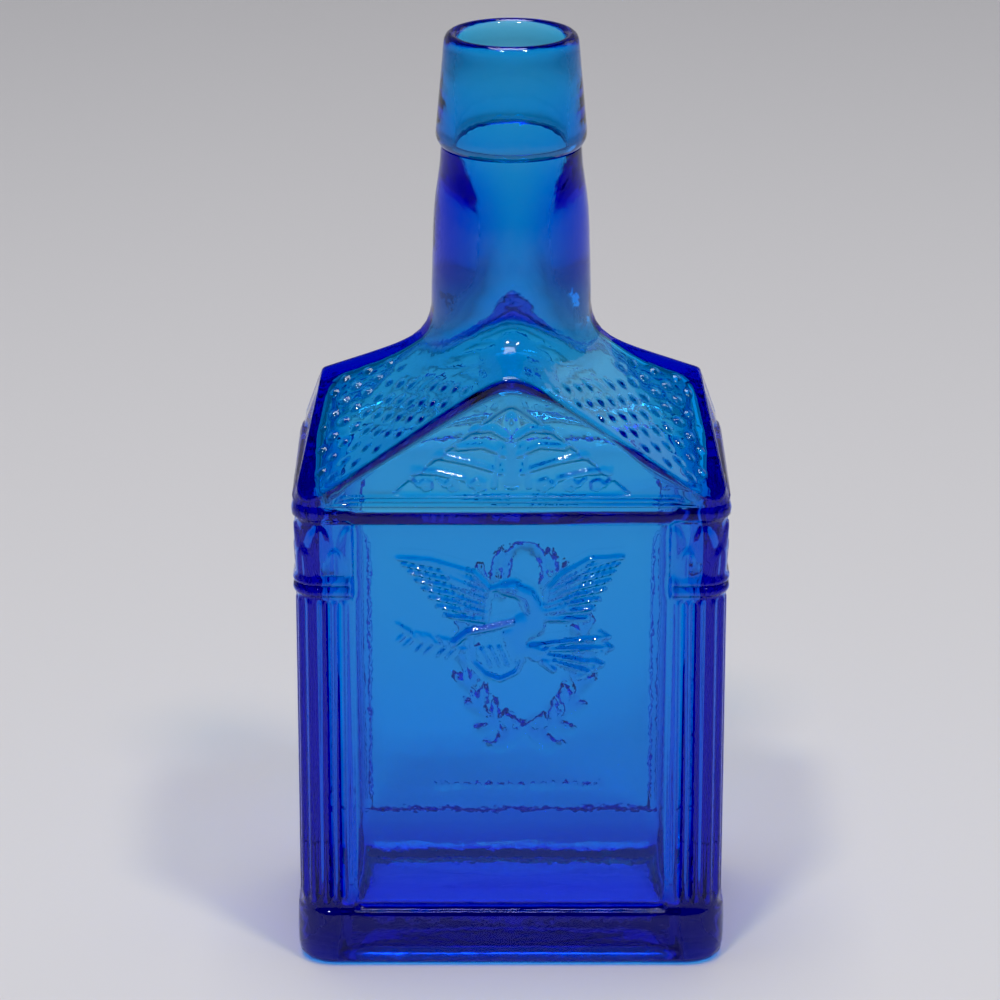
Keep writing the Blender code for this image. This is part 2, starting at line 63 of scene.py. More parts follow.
def lay_out_plan():
    """Arrays with one entry per finest step round the plan, and the coarse cell list."""
    rows = []
    cells = []
    for side in range(4):
        half = (WALL_HALF_X if side % 2 == 0 else WALL_HALF_Y) - WALL_CORNER
        panel_cells = CELLS_LONG_PANEL if side % 2 == 0 else CELLS_SHORT_PANEL
        edge = half - COLUMN_RUN
        marks = (-half, -edge, COLUMN_STEP - edge, edge - COLUMN_STEP, edge, half)
        kinds = (("column", 2), ("step", 1), ("panel", panel_cells), ("step", 1), ("column", 2))
        for (kind, count), low, high in zip(kinds, marks, marks[1:]):
            for cell in range(count):
                cells.append((kind, side, low + (high - low) * (cell + 0.5) / count))
            for step in range(count * FINEST):
                along = low + (high - low) * step / (count * FINEST)
                column = 1.0 - smooth_step(0.0, COLUMN_STEP, edge - abs(along))
                travel = along - (half - COLUMN_RUN) if along > 0 else COLUMN_RUN + CORNER_RUN + half + along
                rows.append((side, along, along / half, 0.0, column, travel))
        for cell in range(2):
            cells.append(("corner", side, half))
        for step in range(2 * FINEST):
            turn = math.pi / 2 * step / (2 * FINEST)
            rows.append((side, half, 1.0, turn, 1.0, COLUMN_RUN + turn * WALL_CORNER))
    side, along, share, turn, column, travel = (np.array(values) for values in zip(*rows))
    heading = (side - 1) * math.pi / 2
    # Directions of each side: outwards and onwards, counter-clockwise seen from above
    out_x, out_y = np.cos(heading), np.sin(heading)
    on_x, on_y = -out_y, out_x
    plan = {
        "side": side,
        "along": along,
        "column": column,
        "travel": travel,
        "centre_x": np.where(turn > 0, out_x + on_x, out_x + on_x * share),
        "centre_y": np.where(turn > 0, out_y + on_y, out_y + on_y * share),
        "normal_x": np.cos(heading + turn),
        "normal_y": np.sin(heading + turn),
    }
    return plan, cells


PLAN, PLAN_CELLS = lay_out_plan()
PLAN_STEPS = len(PLAN["side"])


def outline(plan, half_x, half_y, corner):
    x = plan["centre_x"] * (half_x - corner) + plan["normal_x"] * corner
    y = plan["centre_y"] * (half_y - corner) + plan["normal_y"] * corner
    return x, y


# ---------------------------------------------------------------------------------------------
# Base. A thick slab of glass: a shallow push-up inside a flat resting ring, a rounded heel, the
# straight plinth and a ledge that the walls and columns stand on. Pressed by the mould's base plate.
# ---------------------------------------------------------------------------------------------
PLINTH_HALF_X = 58.57
PLINTH_HALF_Y = 36.32
PLINTH_CORNER = 10.0
HEEL = 4.0
RING_WIDTH = 7.0
PUSH_UP = 2.0
PUSH_UP_CROWN = 0.6
PUSH_UP_MIDDLE = 0.12
PLINTH_BELLY = 0.15
LEDGE_HEIGHT = 16.5
LEDGE_ROUNDING = 1.2
LEDGE_LIP = 0.45
WALL_START = LEDGE_HEIGHT + LEDGE_ROUNDING


def plinth_outline(plan, inset):
    corner = np.maximum(PLINTH_CORNER - inset, 2.0)
    return outline(plan, PLINTH_HALF_X - inset, PLINTH_HALF_Y - inset, corner)


def push_up(plan, share):
    risen = 1 - smooth_step(PUSH_UP_CROWN, 1.0, share)
    x, y = plinth_outline(plan, HEEL + RING_WIDTH + 2 * PUSH_UP * risen)
    spread = PUSH_UP_MIDDLE + (1 - PUSH_UP_MIDDLE) * np.clip(share / PUSH_UP_CROWN, 0.0, 1.0)
    return x * spread, y * spread, PUSH_UP * (1.2 - 0.2 * share) * risen


def resting_ring(plan, share):
    x, y = plinth_outline(plan, HEEL + RING_WIDTH * (1 - share))
    return x, y, np.zeros_like(x)


def heel(plan, share):
    turn = share * math.pi / 2
    x, y = plinth_outline(plan, HEEL * (1 - np.sin(turn)))
    return x, y, HEEL * (1 - np.cos(turn))


def plinth(plan, share):
    x, y = plinth_outline(plan, PLINTH_BELLY * (1 - np.sin(share * math.pi)))
    return x, y, HEEL + (LEDGE_HEIGHT - LEDGE_ROUNDING - HEEL) * share


def ledge(plan, share):
    outer_x, outer_y = plinth_outline(plan, PLINTH_BELLY)
    inner_x, inner_y, _ = wall(plan, np.full_like(share, WALL_START))
    first = np.clip(share * 2, 0, 1) * math.pi / 2
    second = np.clip(share * 2 - 1, 0, 1) * math.pi / 2
    inwards = LEDGE_LIP * (1 - np.cos(first)) + (1 - LEDGE_LIP) * np.sin(second)
    z = LEDGE_HEIGHT - LEDGE_ROUNDING * (1 - np.sin(first)) + LEDGE_ROUNDING * (1 - np.cos(second))
    return outer_x + (inner_x - outer_x) * inwards, outer_y + (inner_y - outer_y) * inwards, z


# ---------------------------------------------------------------------------------------------
# Corner columns. Each wraps a corner of the body: convex reeds with rounded feet, an astragal of
# two rings, and a capital of pointed leaves in two tiers. Cut into the mould, so one with the wall.
# ---------------------------------------------------------------------------------------------
COLUMN_PROUD = 0.9
REEDS = 8
REED_HEIGHT = 0.95
REED_START = 18.6
REED_END = 107.8
RING_HEIGHTS = (109.8, 112.6)
RING_RADIUS = 1.35
RING_RISE = 1.1
LEAF_TIERS = ((114.4, 121.8, 0.0, 1.2), (118.4, 128.2, 0.5, 0.95))
LEAF_WIDTH = COLUMN_LENGTH / 3
VEIN_DEPTH = 0.35
VEIN_WIDTH = 0.45


def reed_weight(z):
    return smooth_step(REED_START, REED_START + 1.8, z) * (1 - smooth_step(REED_END - 1.2, REED_END, z))


def leaf_field(travel, z):
    field = np.zeros_like(z)
    for foot, tip, shift, rise in LEAF_TIERS:
        place = travel / LEAF_WIDTH + shift
        across = np.abs(place - np.floor(place) - 0.5) * LEAF_WIDTH
        climb = (z - foot) / (tip - foot)
        reach = 0.46 * LEAF_WIDTH * np.sqrt(np.clip(1 - np.clip(climb, 0, 1) ** 2.2, 0, 1))
        body = np.clip(1 - (across / np.maximum(reach, 0.05)) ** 2, 0, 1) ** 0.6
        body = body * smooth_step(-0.05, 0.06, climb) * (climb < 1)
        vein = VEIN_DEPTH * np.exp(-((across / VEIN_WIDTH) ** 2)) * body
        field = np.maximum(field, rise * (body * (0.55 + 0.45 * climb) - vein))
    return field


def column_field(travel, z):
    rings = np.zeros_like(z)
    for middle in RING_HEIGHTS:
        ring = np.sqrt(np.clip(1 - ((z - middle) / RING_RADIUS) ** 2, 0, 1))
        rings = np.maximum(rings, RING_RISE * ring)
    plain = REED_HEIGHT / 2 * (1 - reed_weight(z))
    return COLUMN_PROUD + plain + np.maximum(rings, leaf_field(travel, z))


# ---------------------------------------------------------------------------------------------
# Raised figures. The mould-maker engraved them as tapering grooves, so in the glass each one is a
# set of low rounded ridges: a spread eagle in front, a tied wreath behind, palmettes in the front and
# back gables and a small rosette in each side gable.
# ---------------------------------------------------------------------------------------------
def ridges(across, z, strokes):
    """The highest of several tapering ridges, each given as rise, first radius, last radius, points."""
    field = np.zeros_like(z)
    for rise, first, last, points in strokes:
        runs = len(points) - 1
        for run, ((a_x, a_z), (b_x, b_z)) in enumerate(zip(points, points[1:])):
            d_x, d_z = b_x - a_x, b_z - a_z
            place = ((across - a_x) * d_x + (z - a_z) * d_z) / (d_x * d_x + d_z * d_z)
            place = np.clip(place, 0, 1)
            gap = np.hypot(across - a_x - place * d_x, z - a_z - place * d_z)
            radius = first + (last - first) * (run + place) / runs
            field = np.maximum(field, rise * np.clip(1 - (gap / radius) ** 2, 0, 1) ** 0.7)
    return field


def between(a, b, share):
    return tuple(p + (q - p) * share for p, q in zip(a, b))


def eagle_strokes():
    strokes = []
    wings = (
        (-1, (-30.4, 118.9), (-17.5, 102.5), (-6.4, 110.6), (-7.2, 101.0)),
        (1, (29.6, 119.2), (20.0, 101.6), (10.4, 110.4), (8.6, 101.4)),
    )
    for hand, first_tip, last_tip, first_root, last_root in wings:
        for feather in range(8):
            share = feather / 7
            tip = between(first_tip, last_tip, share ** 1.15)
            root = between(first_root, last_root, share)
            middle = between(root, tip, 0.5)
            sag = (middle[0], middle[1] + 1.6 * (1 - share))
            strokes.append((0.85, 0.85, 0.55, [root, sag, tip]))
        for feather in range(5):
            share = feather / 4
            root = between(first_root, last_root, 0.15 + 0.8 * share)
            tip = between(root, between(first_tip, last_tip, share), 0.42)
            strokes.append((1.05, 0.85, 0.65, [root, tip]))
        shoulder = (first_root[0] + hand * 3.6, first_root[1] + 4.0)
        bow = (first_tip[0] - hand * 8.5, first_tip[1] - 0.6)
        edge = [(first_root[0] - hand * 0.4, first_root[1] - 2.4), first_root, shoulder, bow, first_tip]
        strokes.append((0.9, 1.0, 0.7, edge))
    strokes += [
        # Neck, skull, beak and eye
        (1.2, 3.4, 2.2, [(6.0, 99.5), (6.4, 103.6), (4.2, 108.2), (0.6, 110.2)]),
        (1.35, 2.7, 2.3, [(0.4, 110.2), (-1.4, 110.3)]),
        (0.9, 1.1, 0.45, [(-3.0, 110.6), (-5.4, 110.0), (-5.9, 108.6)]),
        (1.75, 0.6, 0.5, [(-1.6, 110.8), (-1.0, 111.0)]),
        # Breast and thighs behind the shield
        (1.1, 4.2, 3.0, [(4.0, 99.4), (0.8, 96.6), (2.4, 92.6)]),
        (0.9, 2.0, 1.2, [(3.8, 92.8), (6.6, 90.2)]),
        # Banded top edge of the shield, its rim and its stripes
        (1.3, 1.1, 0.9, [(-15.2, 94.6), (-11.6, 97.8), (-5.6, 99.0), (0.6, 100.6)]),
        (0.8, 0.7, 0.7, [(-11.4, 96.6), (-10.6, 89.2), (-7.0, 85.4), (-3.0, 84.0)]),
        (0.8, 0.7, 0.7, [(-3.0, 84.0), (1.4, 86.2), (3.0, 90.0), (2.6, 95.4)]),
    ]
    for stripe in range(5):
        top = (-8.2 + 2.35 * stripe, 92.8 + 0.3 * stripe)
        strokes.append((0.75, 0.62, 0.5, [top, (top[0] + 2.2, top[1] - 5.4 + 0.35 * abs(stripe - 2))]))
    # Arrows held to one side
    for arrow, (end, slope) in enumerate(((26.0, 3.4), (27.0, 0.2), (24.4, -4.6), (20.5, -6.8))):
        start = (4.6 + arrow * 0.6, 93.6 - 0.9 * arrow)
        tip = (end, 93.0 + slope)
        strokes.append((0.7, 0.75, 0.5, [start, tip]))
        for barb in (-1.3, 1.3):
            strokes.append((0.6, 0.5, 0.4, [(tip[0] - 2.4, tip[1] + barb), tip]))
    strokes.append((1.1, 1.7, 1.0, [(5.6, 93.2), (8.6, 92.4)]))
    strokes.append((1.0, 1.4, 0.9, [(8.6, 89.4), (11.4, 86.8)]))
    # Leafy branch held to the other side
    stem = [(-12.4, 92.6), (-18.0, 94.0), (-24.0, 95.2), (-29.2, 98.4)]
    strokes.append((0.6, 0.55, 0.45, stem))
    for leaf in range(6):
        run = leaf // 2
        root = between(stem[run], stem[run + 1], 0.35 + 0.4 * (leaf % 2))
        for hand in (-1, 1):
            tip = (root[0] - 3.0, root[1] + hand * 2.9)
            strokes.append((0.6, 0.5, 0.85, [root, between(root, tip, 0.6)]))
            strokes.append((0.6, 0.85, 0.3, [between(root, tip, 0.6), tip]))
    return strokes


WREATH_MIDDLE = (-4.0, 66.5)
WREATH_REACH = (17.0, 27.0)


def on_wreath(degrees, grow=1.0):
    angle = math.radians(degrees)
    return (
        WREATH_MIDDLE[0] + WREATH_REACH[0] * grow * math.cos(angle),
        WREATH_MIDDLE[1] + WREATH_REACH[1] * grow * math.sin(angle),
    )


def wreath_strokes():
    strokes = []
    for hand in (-1, 1):
        stem = [on_wreath(-90 + hand * step) for step in range(6, 152, 12)]
        strokes.append((1.3, 1.0, 0.7, stem))
        for step in range(12, 150, 17):
            root = on_wreath(-90 + hand * step)
            for grow in (0.76, 1.22):
                tip = on_wreath(-90 + hand * (step + 14), grow)
                strokes.append((1.6, 0.8, 1.8, [root, between(root, tip, 0.6)]))
                strokes.append((1.6, 1.8, 0.4, [between(root, tip, 0.6), tip]))
    bottom = on_wreath(-90)
    for hand in (-1, 1):
        loop = [(0, 0), (4.5, 3.2), (8.5, 1.2), (6.0, -2.6), (0, 0)]
        tail = [(0, 0), (2.6, -4.0), (7.4, -5.6), (11.0, -4.6)]
        for points in (loop, tail):
            strokes.append((1.5, 1.1, 0.8, [(bottom[0] + hand * a, bottom[1] + 3 + b) for a, b in points]))
    # The bow at the foot is answered by an arch at the crest
    crest = on_wreath(90)
    arch = ((-6.4, -10.0), (-5.2, 1.0), (-2.2, 5.0), (2.2, 5.0), (5.2, 1.0), (6.4, -10.0))
    strokes.append((1.8, 1.7, 1.5, [(crest[0] + a, crest[1] + b) for a, b in arch]))
    return strokes


def palmette_strokes(foot):
    """An upright palmette with leaves and scrolls to both sides, on the given base line."""
    strokes = [
        (1.1, 1.6, 1.9, [(0, foot + 21.0), (0, foot + 12.0)]),
        (1.1, 1.9, 2.8, [(0, foot + 12.0), (0, foot + 4.0)]),
        (1.2, 1.2, 0.9, [(0, foot + 22.0), (0, foot + 20.5)]),
    ]
    leaves = (
        ((1.2, 16.0), (5.2, 18.4), (9.6, 18.1)),
        ((1.6, 11.2), (7.4, 13.9), (14.0, 13.4)),
        ((2.4, 6.4), (12.2, 9.5), (19.2, 11.0)),
        ((12.5, 4.6), (19.8, 6.4), (25.4, 6.8)),
    )
    for hand in (-1, 1):
        for leaf in leaves:
            strokes.append((1.1, 0.9, 1.25, [(hand * a, foot + b) for a, b in leaf]))
        side_stem = ((3.0, 14.0), (3.9, 7.5), (4.6, 2.4))
        strokes.append((1.1, 0.8, 0.95, [(hand * a, foot + b) for a, b in side_stem]))
        for middle, size in ((8.6, 2.1), (15.6, 2.0), (22.6, 1.8)):
            scroll = []
            for step in range(9):
                turn = math.radians(70 * step)
                reach = size * (1 - 0.085 * step)
                scroll.append((hand * (middle + reach * math.cos(turn)), foot + 2.6 + reach * math.sin(turn)))
            strokes.append((0.95, 0.7, 0.55, scroll))
            strokes.append((0.95, 0.65, 0.5, [scroll[0], (hand * (middle + 4.2), foot + 4.9)]))
    return strokes


ROSETTE_HEIGHT = 143.0
ROSETTE_RADIUS = 4.0


def rosette_strokes():
    """Six petals round the middle of a side gable."""
    strokes = []
    for petal in range(6):
        turn = math.pi / 2 + math.pi / 3 * petal
        tip = (ROSETTE_RADIUS * math.cos(turn), ROSETTE_HEIGHT + ROSETTE_RADIUS * math.sin(turn))
        strokes.append((0.7, 0.7, 1.0, [(0, ROSETTE_HEIGHT), tip]))
    return strokes


# ---------------------------------------------------------------------------------------------
# Walls. Blown panels set back between the columns, very slightly hollow in the middle, with the
# eagle on the front one and the wreath and a row of beads on the back one.
# ---------------------------------------------------------------------------------------------
WALL_END = 128.6
PANEL_HALF_RUNS = (41.4, 19.15)
PANEL_DISH = 0.4
DISH_MARGIN = 5.0
BEAD_HEIGHT = 25.0
BEAD_PITCH = 3.1
BEAD_HALF_ROW = 26.0
BEAD_RADIUS = 1.15
BEAD_RISE = 0.8


def bead_row(along, z):
    across = (along / BEAD_PITCH - np.round(along / BEAD_PITCH)) * BEAD_PITCH
    gap = np.hypot(across, z - BEAD_HEIGHT)
    bead = np.sqrt(np.clip(1 - (gap / BEAD_RADIUS) ** 2, 0, 1))
    return BEAD_RISE * bead * (np.abs(along) < BEAD_HALF_ROW)


def panel_field(plan, z):
    side, along = plan["side"], plan["along"]
    half_run = np.where(side % 2 == 0, *PANEL_HALF_RUNS)
    edge = np.minimum(half_run - np.abs(along), np.minimum(z - WALL_START, WALL_END - z))
    field = -PANEL_DISH * smooth_step(0.0, DISH_MARGIN, edge)
    front = (side == 0) & (np.abs(along) < 36) & (z > 80) & (z < 124)
    back = (side == 2) & (np.abs(along + 4) < 26) & (z > 20) & (z < 102)
    relief = np.zeros_like(z)
    relief[front] = ridges(along[front], z[front], eagle_strokes())
    wreath = ridges(along[back], z[back], wreath_strokes())
    relief[back] = np.maximum(wreath, bead_row(along[back], z[back]))
    return field + relief


def wall(plan, z):
    x, y = outline(plan, WALL_HALF_X, WALL_HALF_Y, WALL_CORNER)
    column = plan["column"]
    push = column * column_field(plan["travel"], z) + (1 - column) * panel_field(plan, z)
    return x + plan["normal_x"] * push, y + plan["normal_y"] * push, z


def wall_band(plan, share):
    return wall(plan, WALL_START + (WALL_END - WALL_START) * share)


# ---------------------------------------------------------------------------------------------
# Cornice. The moulding that ties walls and columns together under the roof: a nearly flat
# underside over the panels, a sloping one over the capitals, and an upright face up to the eave.
# ---------------------------------------------------------------------------------------------
EAVE = 134.0
EAVE_HALF_X = 58.7
EAVE_HALF_Y = 36.45
EAVE_CORNER = 7.2
EAVE_TUCK = 0.15
PANEL_PROFILE = ((0.0, 128.6), (0.5, 128.8), (0.9, 129.4), (1.0, 130.3), (1.0, EAVE))
COLUMN_PROFILE = ((0.0, 128.6), (0.20, 129.7), (0.90, 130.6), (1.0, 132.2), (1.0, EAVE))


def cornice(plan, share):
    inner_x, inner_y, _ = wall(plan, np.full_like(share, WALL_END))
    tuck = EAVE_TUCK + (GABLE_INSET - EAVE_TUCK) * smooth_step(0.8, 1.0, share)
    outer_x, outer_y = outline(plan, EAVE_HALF_X - tuck, EAVE_HALF_Y - tuck, EAVE_CORNER - tuck)
    marks = np.linspace(0, 1, len(PANEL_PROFILE))
    mixed = []
    for index in range(2):
        over_panel = np.interp(share, marks, [point[index] for point in PANEL_PROFILE])
        over_column = np.interp(share, marks, [point[index] for point in COLUMN_PROFILE])
        mixed.append(over_panel + (over_column - over_panel) * plan["column"])
    out, z = mixed
    return inner_x + (outer_x - inner_x) * out, inner_y + (outer_y - inner_y) * out, z


# ---------------------------------------------------------------------------------------------
# Roof. Two crossing gables: the pediments stand upright, the side gables lean in. The slopes are
# studded with small pointed hobnails, left smooth along the front ridge and round the neck.
# ---------------------------------------------------------------------------------------------
MAIN_TOP = 173.7
MAIN_SLOPE = 0.72
MAIN_BLUNT = 6.0
MAIN_CLIMB = 0.44
SIDE_TOP = 161.0
SIDE_SLOPE = 0.70
SIDE_BLUNT = 1.5
SIDE_CLIMB = 0.33
SIDE_APEX_X = 51.6
SIDE_LEAN = 7.1 / 27.0
RAKE_ROUNDING = 1.3
RIB_BAND = 3.7
RIB_HEIGHTS = (134.7, 135.9, 137.1)
RIB_RISE = 0.6
RIB_RADIUS = 0.55
RIB_REACH = (49.0, 31.0)
ROOF_FOOT = 26.6
GABLE_INSET = 0.75
FIELD_FOOT = 137.3
FIELD_TOP = (162.0, 153.5)
FIELD_HALF_FOOT = (31.5, 20.0)
FIELD_ROUNDING = 1.5
FIELD_SINK = 1.0
KNOB_RISE = 1.7
NORMAL_PULL = 0.18


def roof_height(x, y, valley=1.6, blunt=1.0):
    main = MAIN_TOP - MAIN_SLOPE * np.hypot(x, MAIN_BLUNT * blunt) + MAIN_CLIMB * (EAVE_HALF_Y - np.abs(y))
    side_fall = SIDE_SLOPE * (np.hypot(y, SIDE_BLUNT * blunt) - SIDE_BLUNT)
    side = SIDE_TOP - side_fall + SIDE_CLIMB * (SIDE_APEX_X - np.abs(x))
    return 0.5 * (main + side + np.hypot(main - side, valley))


def gable_point(plan, z, inset=0.0):
    """A point of the gable faces: upright in front and behind, leaning in at the sides."""
    x, y = outline(plan, EAVE_HALF_X - inset, EAVE_HALF_Y - inset, EAVE_CORNER - inset)
    lean = SIDE_LEAN * (z - EAVE) * plan["normal_x"] * np.abs(plan["normal_x"])
    return x - lean, y


def rake_height(plan):
    z = np.full_like(plan["along"], EAVE + 2)
    for _ in range(6):
        x, y = gable_point(plan, z)
        z = roof_height(x, y)
    # The eave corners swell into small knobs
    knob = EAVE + KNOB_RISE
    return 0.5 * (z + knob + np.hypot(z - knob, 0.6))


def gable_field(plan, z):
    """Ribs along the foot, the sunk field and its ornament, as height off the gable's plane."""
    side = plan["side"]
    front = side % 2 == 0
    x, y = gable_point(plan, z)
    along = np.where(front, np.where(side == 0, x, -x), np.where(side == 1, y, -y))
    top = np.where(front, *FIELD_TOP)
    slope = (top - FIELD_FOOT) / np.where(front, *FIELD_HALF_FOOT)
    fall = slope * (np.hypot(along, FIELD_ROUNDING) - FIELD_ROUNDING)
    to_rake = (top - z - fall) / np.hypot(1.0, slope)
    to_foot = z - FIELD_FOOT
    inside = 0.5 * (to_rake + to_foot - np.hypot(to_rake - to_foot, FIELD_ROUNDING))
    field = -FIELD_SINK * smooth_step(-0.5, 0.9, inside)
    rib_end = np.where(front, *RIB_REACH) - 1.1 * (z - EAVE)
    for rib in RIB_HEIGHTS:
        rib_rise = RIB_RISE * np.sqrt(np.clip(1 - ((z - rib) / RIB_RADIUS) ** 2, 0, 1))
        field = field + rib_rise * smooth_step(0, 3, rib_end - np.abs(along))
    chosen = front & (np.abs(along) < 34) & (to_foot > -1)
    field[chosen] += ridges(along[chosen], z[chosen], palmette_strokes(FIELD_FOOT))
    chosen = ~front & (np.abs(along) < 18) & (to_foot > -1)
    field[chosen] += ridges(along[chosen], z[chosen], rosette_strokes())
    corner = np.abs(plan["normal_x"] * plan["normal_y"])
    return np.minimum(field * (1 - smooth_step(0.0, 0.3, corner)) - GABLE_INSET, -0.15)


def gable_face(low, high):
    """low and high are heights as functions of the plan; returns a band between them."""
    def band(part, share):
        z = low(part) + (high(part) - low(part)) * share
        x, y = gable_point(part, z)
        push = gable_field(part, z)
        return x + part["normal_x"] * push, y + part["normal_y"] * push, z
    return band


def face_top(plan):
    top = rake_height(plan)
    return top - np.minimum(RAKE_ROUNDING, 0.55 * (top - EAVE))


def rib_top(plan):
    return EAVE + np.minimum(RIB_BAND, 0.5 * (face_top(plan) - EAVE))


def eave_start(plan):
    return np.full_like(plan["along"], EAVE)


def towards_neck(plan, radius):
    """The plan point on a circle round the neck that a roof line runs to."""
    x = plan["centre_x"] * (1 - NORMAL_PULL) + plan["normal_x"] * NORMAL_PULL
    y = plan["centre_y"] * (1 - NORMAL_PULL) + plan["normal_y"] * NORMAL_PULL
    angle = np.arctan2(y, x)
    return radius * np.cos(angle), radius * np.sin(angle)


def roof_start(plan):
    top = rake_height(plan)
    x, y = gable_point(plan, top, RAKE_ROUNDING * 1.3)
    return x, y, np.maximum(roof_height(x, y), top - 0.5)


def curve_through(start, bend, end, share):
    """A rounded corner: leaves start towards bend and arrives at end."""
    keep = (1 - share) ** 2
    turn = 2 * share * (1 - share)
    arrive = share ** 2
    return [keep * a + turn * b + arrive * c for a, b, c in zip(start, bend, end)]


def rake_edge(plan, share):
    low = face_top(plan)
    start_x, start_y = gable_point(plan, low)
    start_x = start_x - GABLE_INSET * plan["normal_x"]
    start_y = start_y - GABLE_INSET * plan["normal_y"]
    top = rake_height(plan)
    bend_x, bend_y = gable_point(plan, top, 0.2)
    return curve_through((start_x, start_y, low), (bend_x, bend_y, top), roof_start(plan), share)


def roof(plan, share):
    start_x, start_y, start_z = roof_start(plan)
    end_x, end_y = towards_neck(plan, ROOF_FOOT)
    x = start_x + (end_x - start_x) * share
    y = start_y + (end_y - start_y) * share
    step = (start_z - roof_height(start_x, start_y)) * (1 - smooth_step(0, 0.1, share))
    return x, y, roof_height(x, y) + step


# ---------------------------------------------------------------------------------------------
# Neck. A thick round tube drawn out of the roof with a soft fillet, swelling a little towards its
# foot. The collar sits on its top. The bore narrows below the collar and flares into the body.
# ---------------------------------------------------------------------------------------------
NECK_FOOT_TOP = 189.0
NECK_TOP = 223.6
NECK_FILLET = 21.7
NECK_FILLET_RISE = 6.5
NECK_PROFILE = (
    (180, 21.5), (189, 21.25), (195, 21.1), (203, 20.85),
    (209, 20.4), (215, 19.5), (220, 18.85), (224, 18.7),
)
BORE_PROFILE = ((180, 16.5), (186, 15.0), (191, 13.9), (203, 13.7), (210, 14.0), (217, 14.6), (224, 15.3))
BORE_OVAL = 0.12
BORE_FOOT_TOP = 184.0
BORE_FLARE = 22.0
BORE_SHIFT = 0.5


def eased(profile, z):
    """The radius at a height, with the corners of the profile rounded off."""
    heights, radii = zip(*profile)
    return sum(np.interp(z + step, heights, radii) for step in (-1.5, -0.5, 0.5, 1.5)) / 4


def neck_fillet(plan, share):
    start = towards_neck(plan, ROOF_FOOT)
    bend = towards_neck(plan, NECK_FILLET)
    end = towards_neck(plan, eased(NECK_PROFILE, NECK_FOOT_TOP - 5))
    bend_z = roof_height(*bend)
    top = (*end, bend_z + NECK_FILLET_RISE)
    return curve_through((*start, roof_height(*start)), (*bend, bend_z), top, share)


def neck_foot(plan, share):
    low_z = roof_height(*towards_neck(plan, NECK_FILLET)) + NECK_FILLET_RISE
    z = low_z + (NECK_FOOT_TOP - low_z) * share
    radius = eased(NECK_PROFILE, NECK_FOOT_TOP - 5) * (1 - share) + eased(NECK_PROFILE, z) * share
    return (*towards_neck(plan, radius), z)


def neck(plan, share):
    z = NECK_FOOT_TOP + (NECK_TOP - NECK_FOOT_TOP) * share
    return (*towards_neck(plan, eased(NECK_PROFILE, z)), z)


def neck_top(plan, share):
    outer = eased(NECK_PROFILE, NECK_TOP)
    radius = outer + (eased(BORE_PROFILE, NECK_TOP) - outer) * share
    x, y = towards_neck(plan, radius)
    return x, y, np.full_like(x, NECK_TOP)


def bore(plan, share):
    z = NECK_TOP + (BORE_FOOT_TOP - NECK_TOP) * share
    x, y = towards_neck(plan, eased(BORE_PROFILE, z))
    oval = BORE_OVAL * smooth_step(222.0, 208.0, z) * smooth_step(BORE_FOOT_TOP, 190.0, z)
    return x * (1 - oval) + BORE_SHIFT * smooth_step(0.0, 0.4, share), y * (1 + oval), z


# ---------------------------------------------------------------------------------------------
# Inside. Blown smooth: the bore flares into the roof space, which follows the gables and steps in
# behind the cornice, then plain walls that thicken downwards and a floor with soft corners, a
# little domed in the middle.
# ---------------------------------------------------------------------------------------------
CAVITY_HALF_X = 51.6
CAVITY_HALF_Y = 28.9
CAVITY_CORNER = 8.0
FOOT_THICKENING = 1.8
SIDE_GABLE_WALL = 4.4
ROOF_WALL = 5.6
ROOF_THINNING = 2.2
GABLE_BULGE = 5.0
GABLE_BULGE_START = 128.0
GABLE_BULGE_END = 132.6
BULGE_EASE = 0.62
BULGE_EASE_HEIGHT = 14.0
BULGE_EASE_RUN = 34.0
GABLE_RETURN = 1.7
GABLE_RETURN_START = 133.5
GABLE_RETURN_END = 138.5
STEP_TOP = 141.0
STEP_FOOT = 126.5
ROWS_TO_STEP = 2 / 28
ROWS_PAST_STEP = 14 / 28
FLOOR = 9.0
FLOOR_DOME = 1.5
FLOOR_CORNER = 13.0
FLOOR_PLAN_CORNER = 3.0
FLOOR_EDGE = FLOOR + 0.1
FLOOR_MIDDLE = 0.12
ROOF_CORNER = 2.0
SIDE_ROOF_CORNER = 6.0
BORE_FLARE_BEND = 17.0
BORE_FLARE_RISE = 0.3
FLOOR_HALF_X = CAVITY_HALF_X - FOOT_THICKENING - FLOOR_CORNER
FLOOR_HALF_Y = CAVITY_HALF_Y - FOOT_THICKENING - FLOOR_CORNER


def inner_height(x, y):
    """The hollow's own roof: softer in its valleys, with thinner glass just right of the middle."""
    thinning = ROOF_THINNING * (smooth_step(2.0, 16.0, x) - smooth_step(24.0, 36.0, x))
    return roof_height(x, y, 4.0, 1.15) - ROOF_WALL + thinning


def inner_wall_point(plan, z):
    thicker = FOOT_THICKENING * smooth_step(120.0, 15.0, z)
    half_x = np.minimum(CAVITY_HALF_X - thicker, EAVE_HALF_X - SIDE_LEAN * (z - EAVE) - SIDE_GABLE_WALL)
    ramp = np.clip((z - GABLE_BULGE_START) / (GABLE_BULGE_END - GABLE_BULGE_START), 0, 1)
    later = np.clip((z - GABLE_BULGE_START) / BULGE_EASE_HEIGHT, 0, 1)
    # The step is steep along most of the front and eases towards its right end
    ease = BULGE_EASE * smooth_step(0.0, BULGE_EASE_RUN, plan["along"]) * (plan["side"] == 0)
    ramp = ramp + (later - ramp) * ease
    back_in = GABLE_RETURN * smooth_step(GABLE_RETURN_START, GABLE_RETURN_END, z)
    half_y = CAVITY_HALF_Y - thicker + GABLE_BULGE * ramp - back_in
    return outline(plan, half_x, half_y, CAVITY_CORNER)


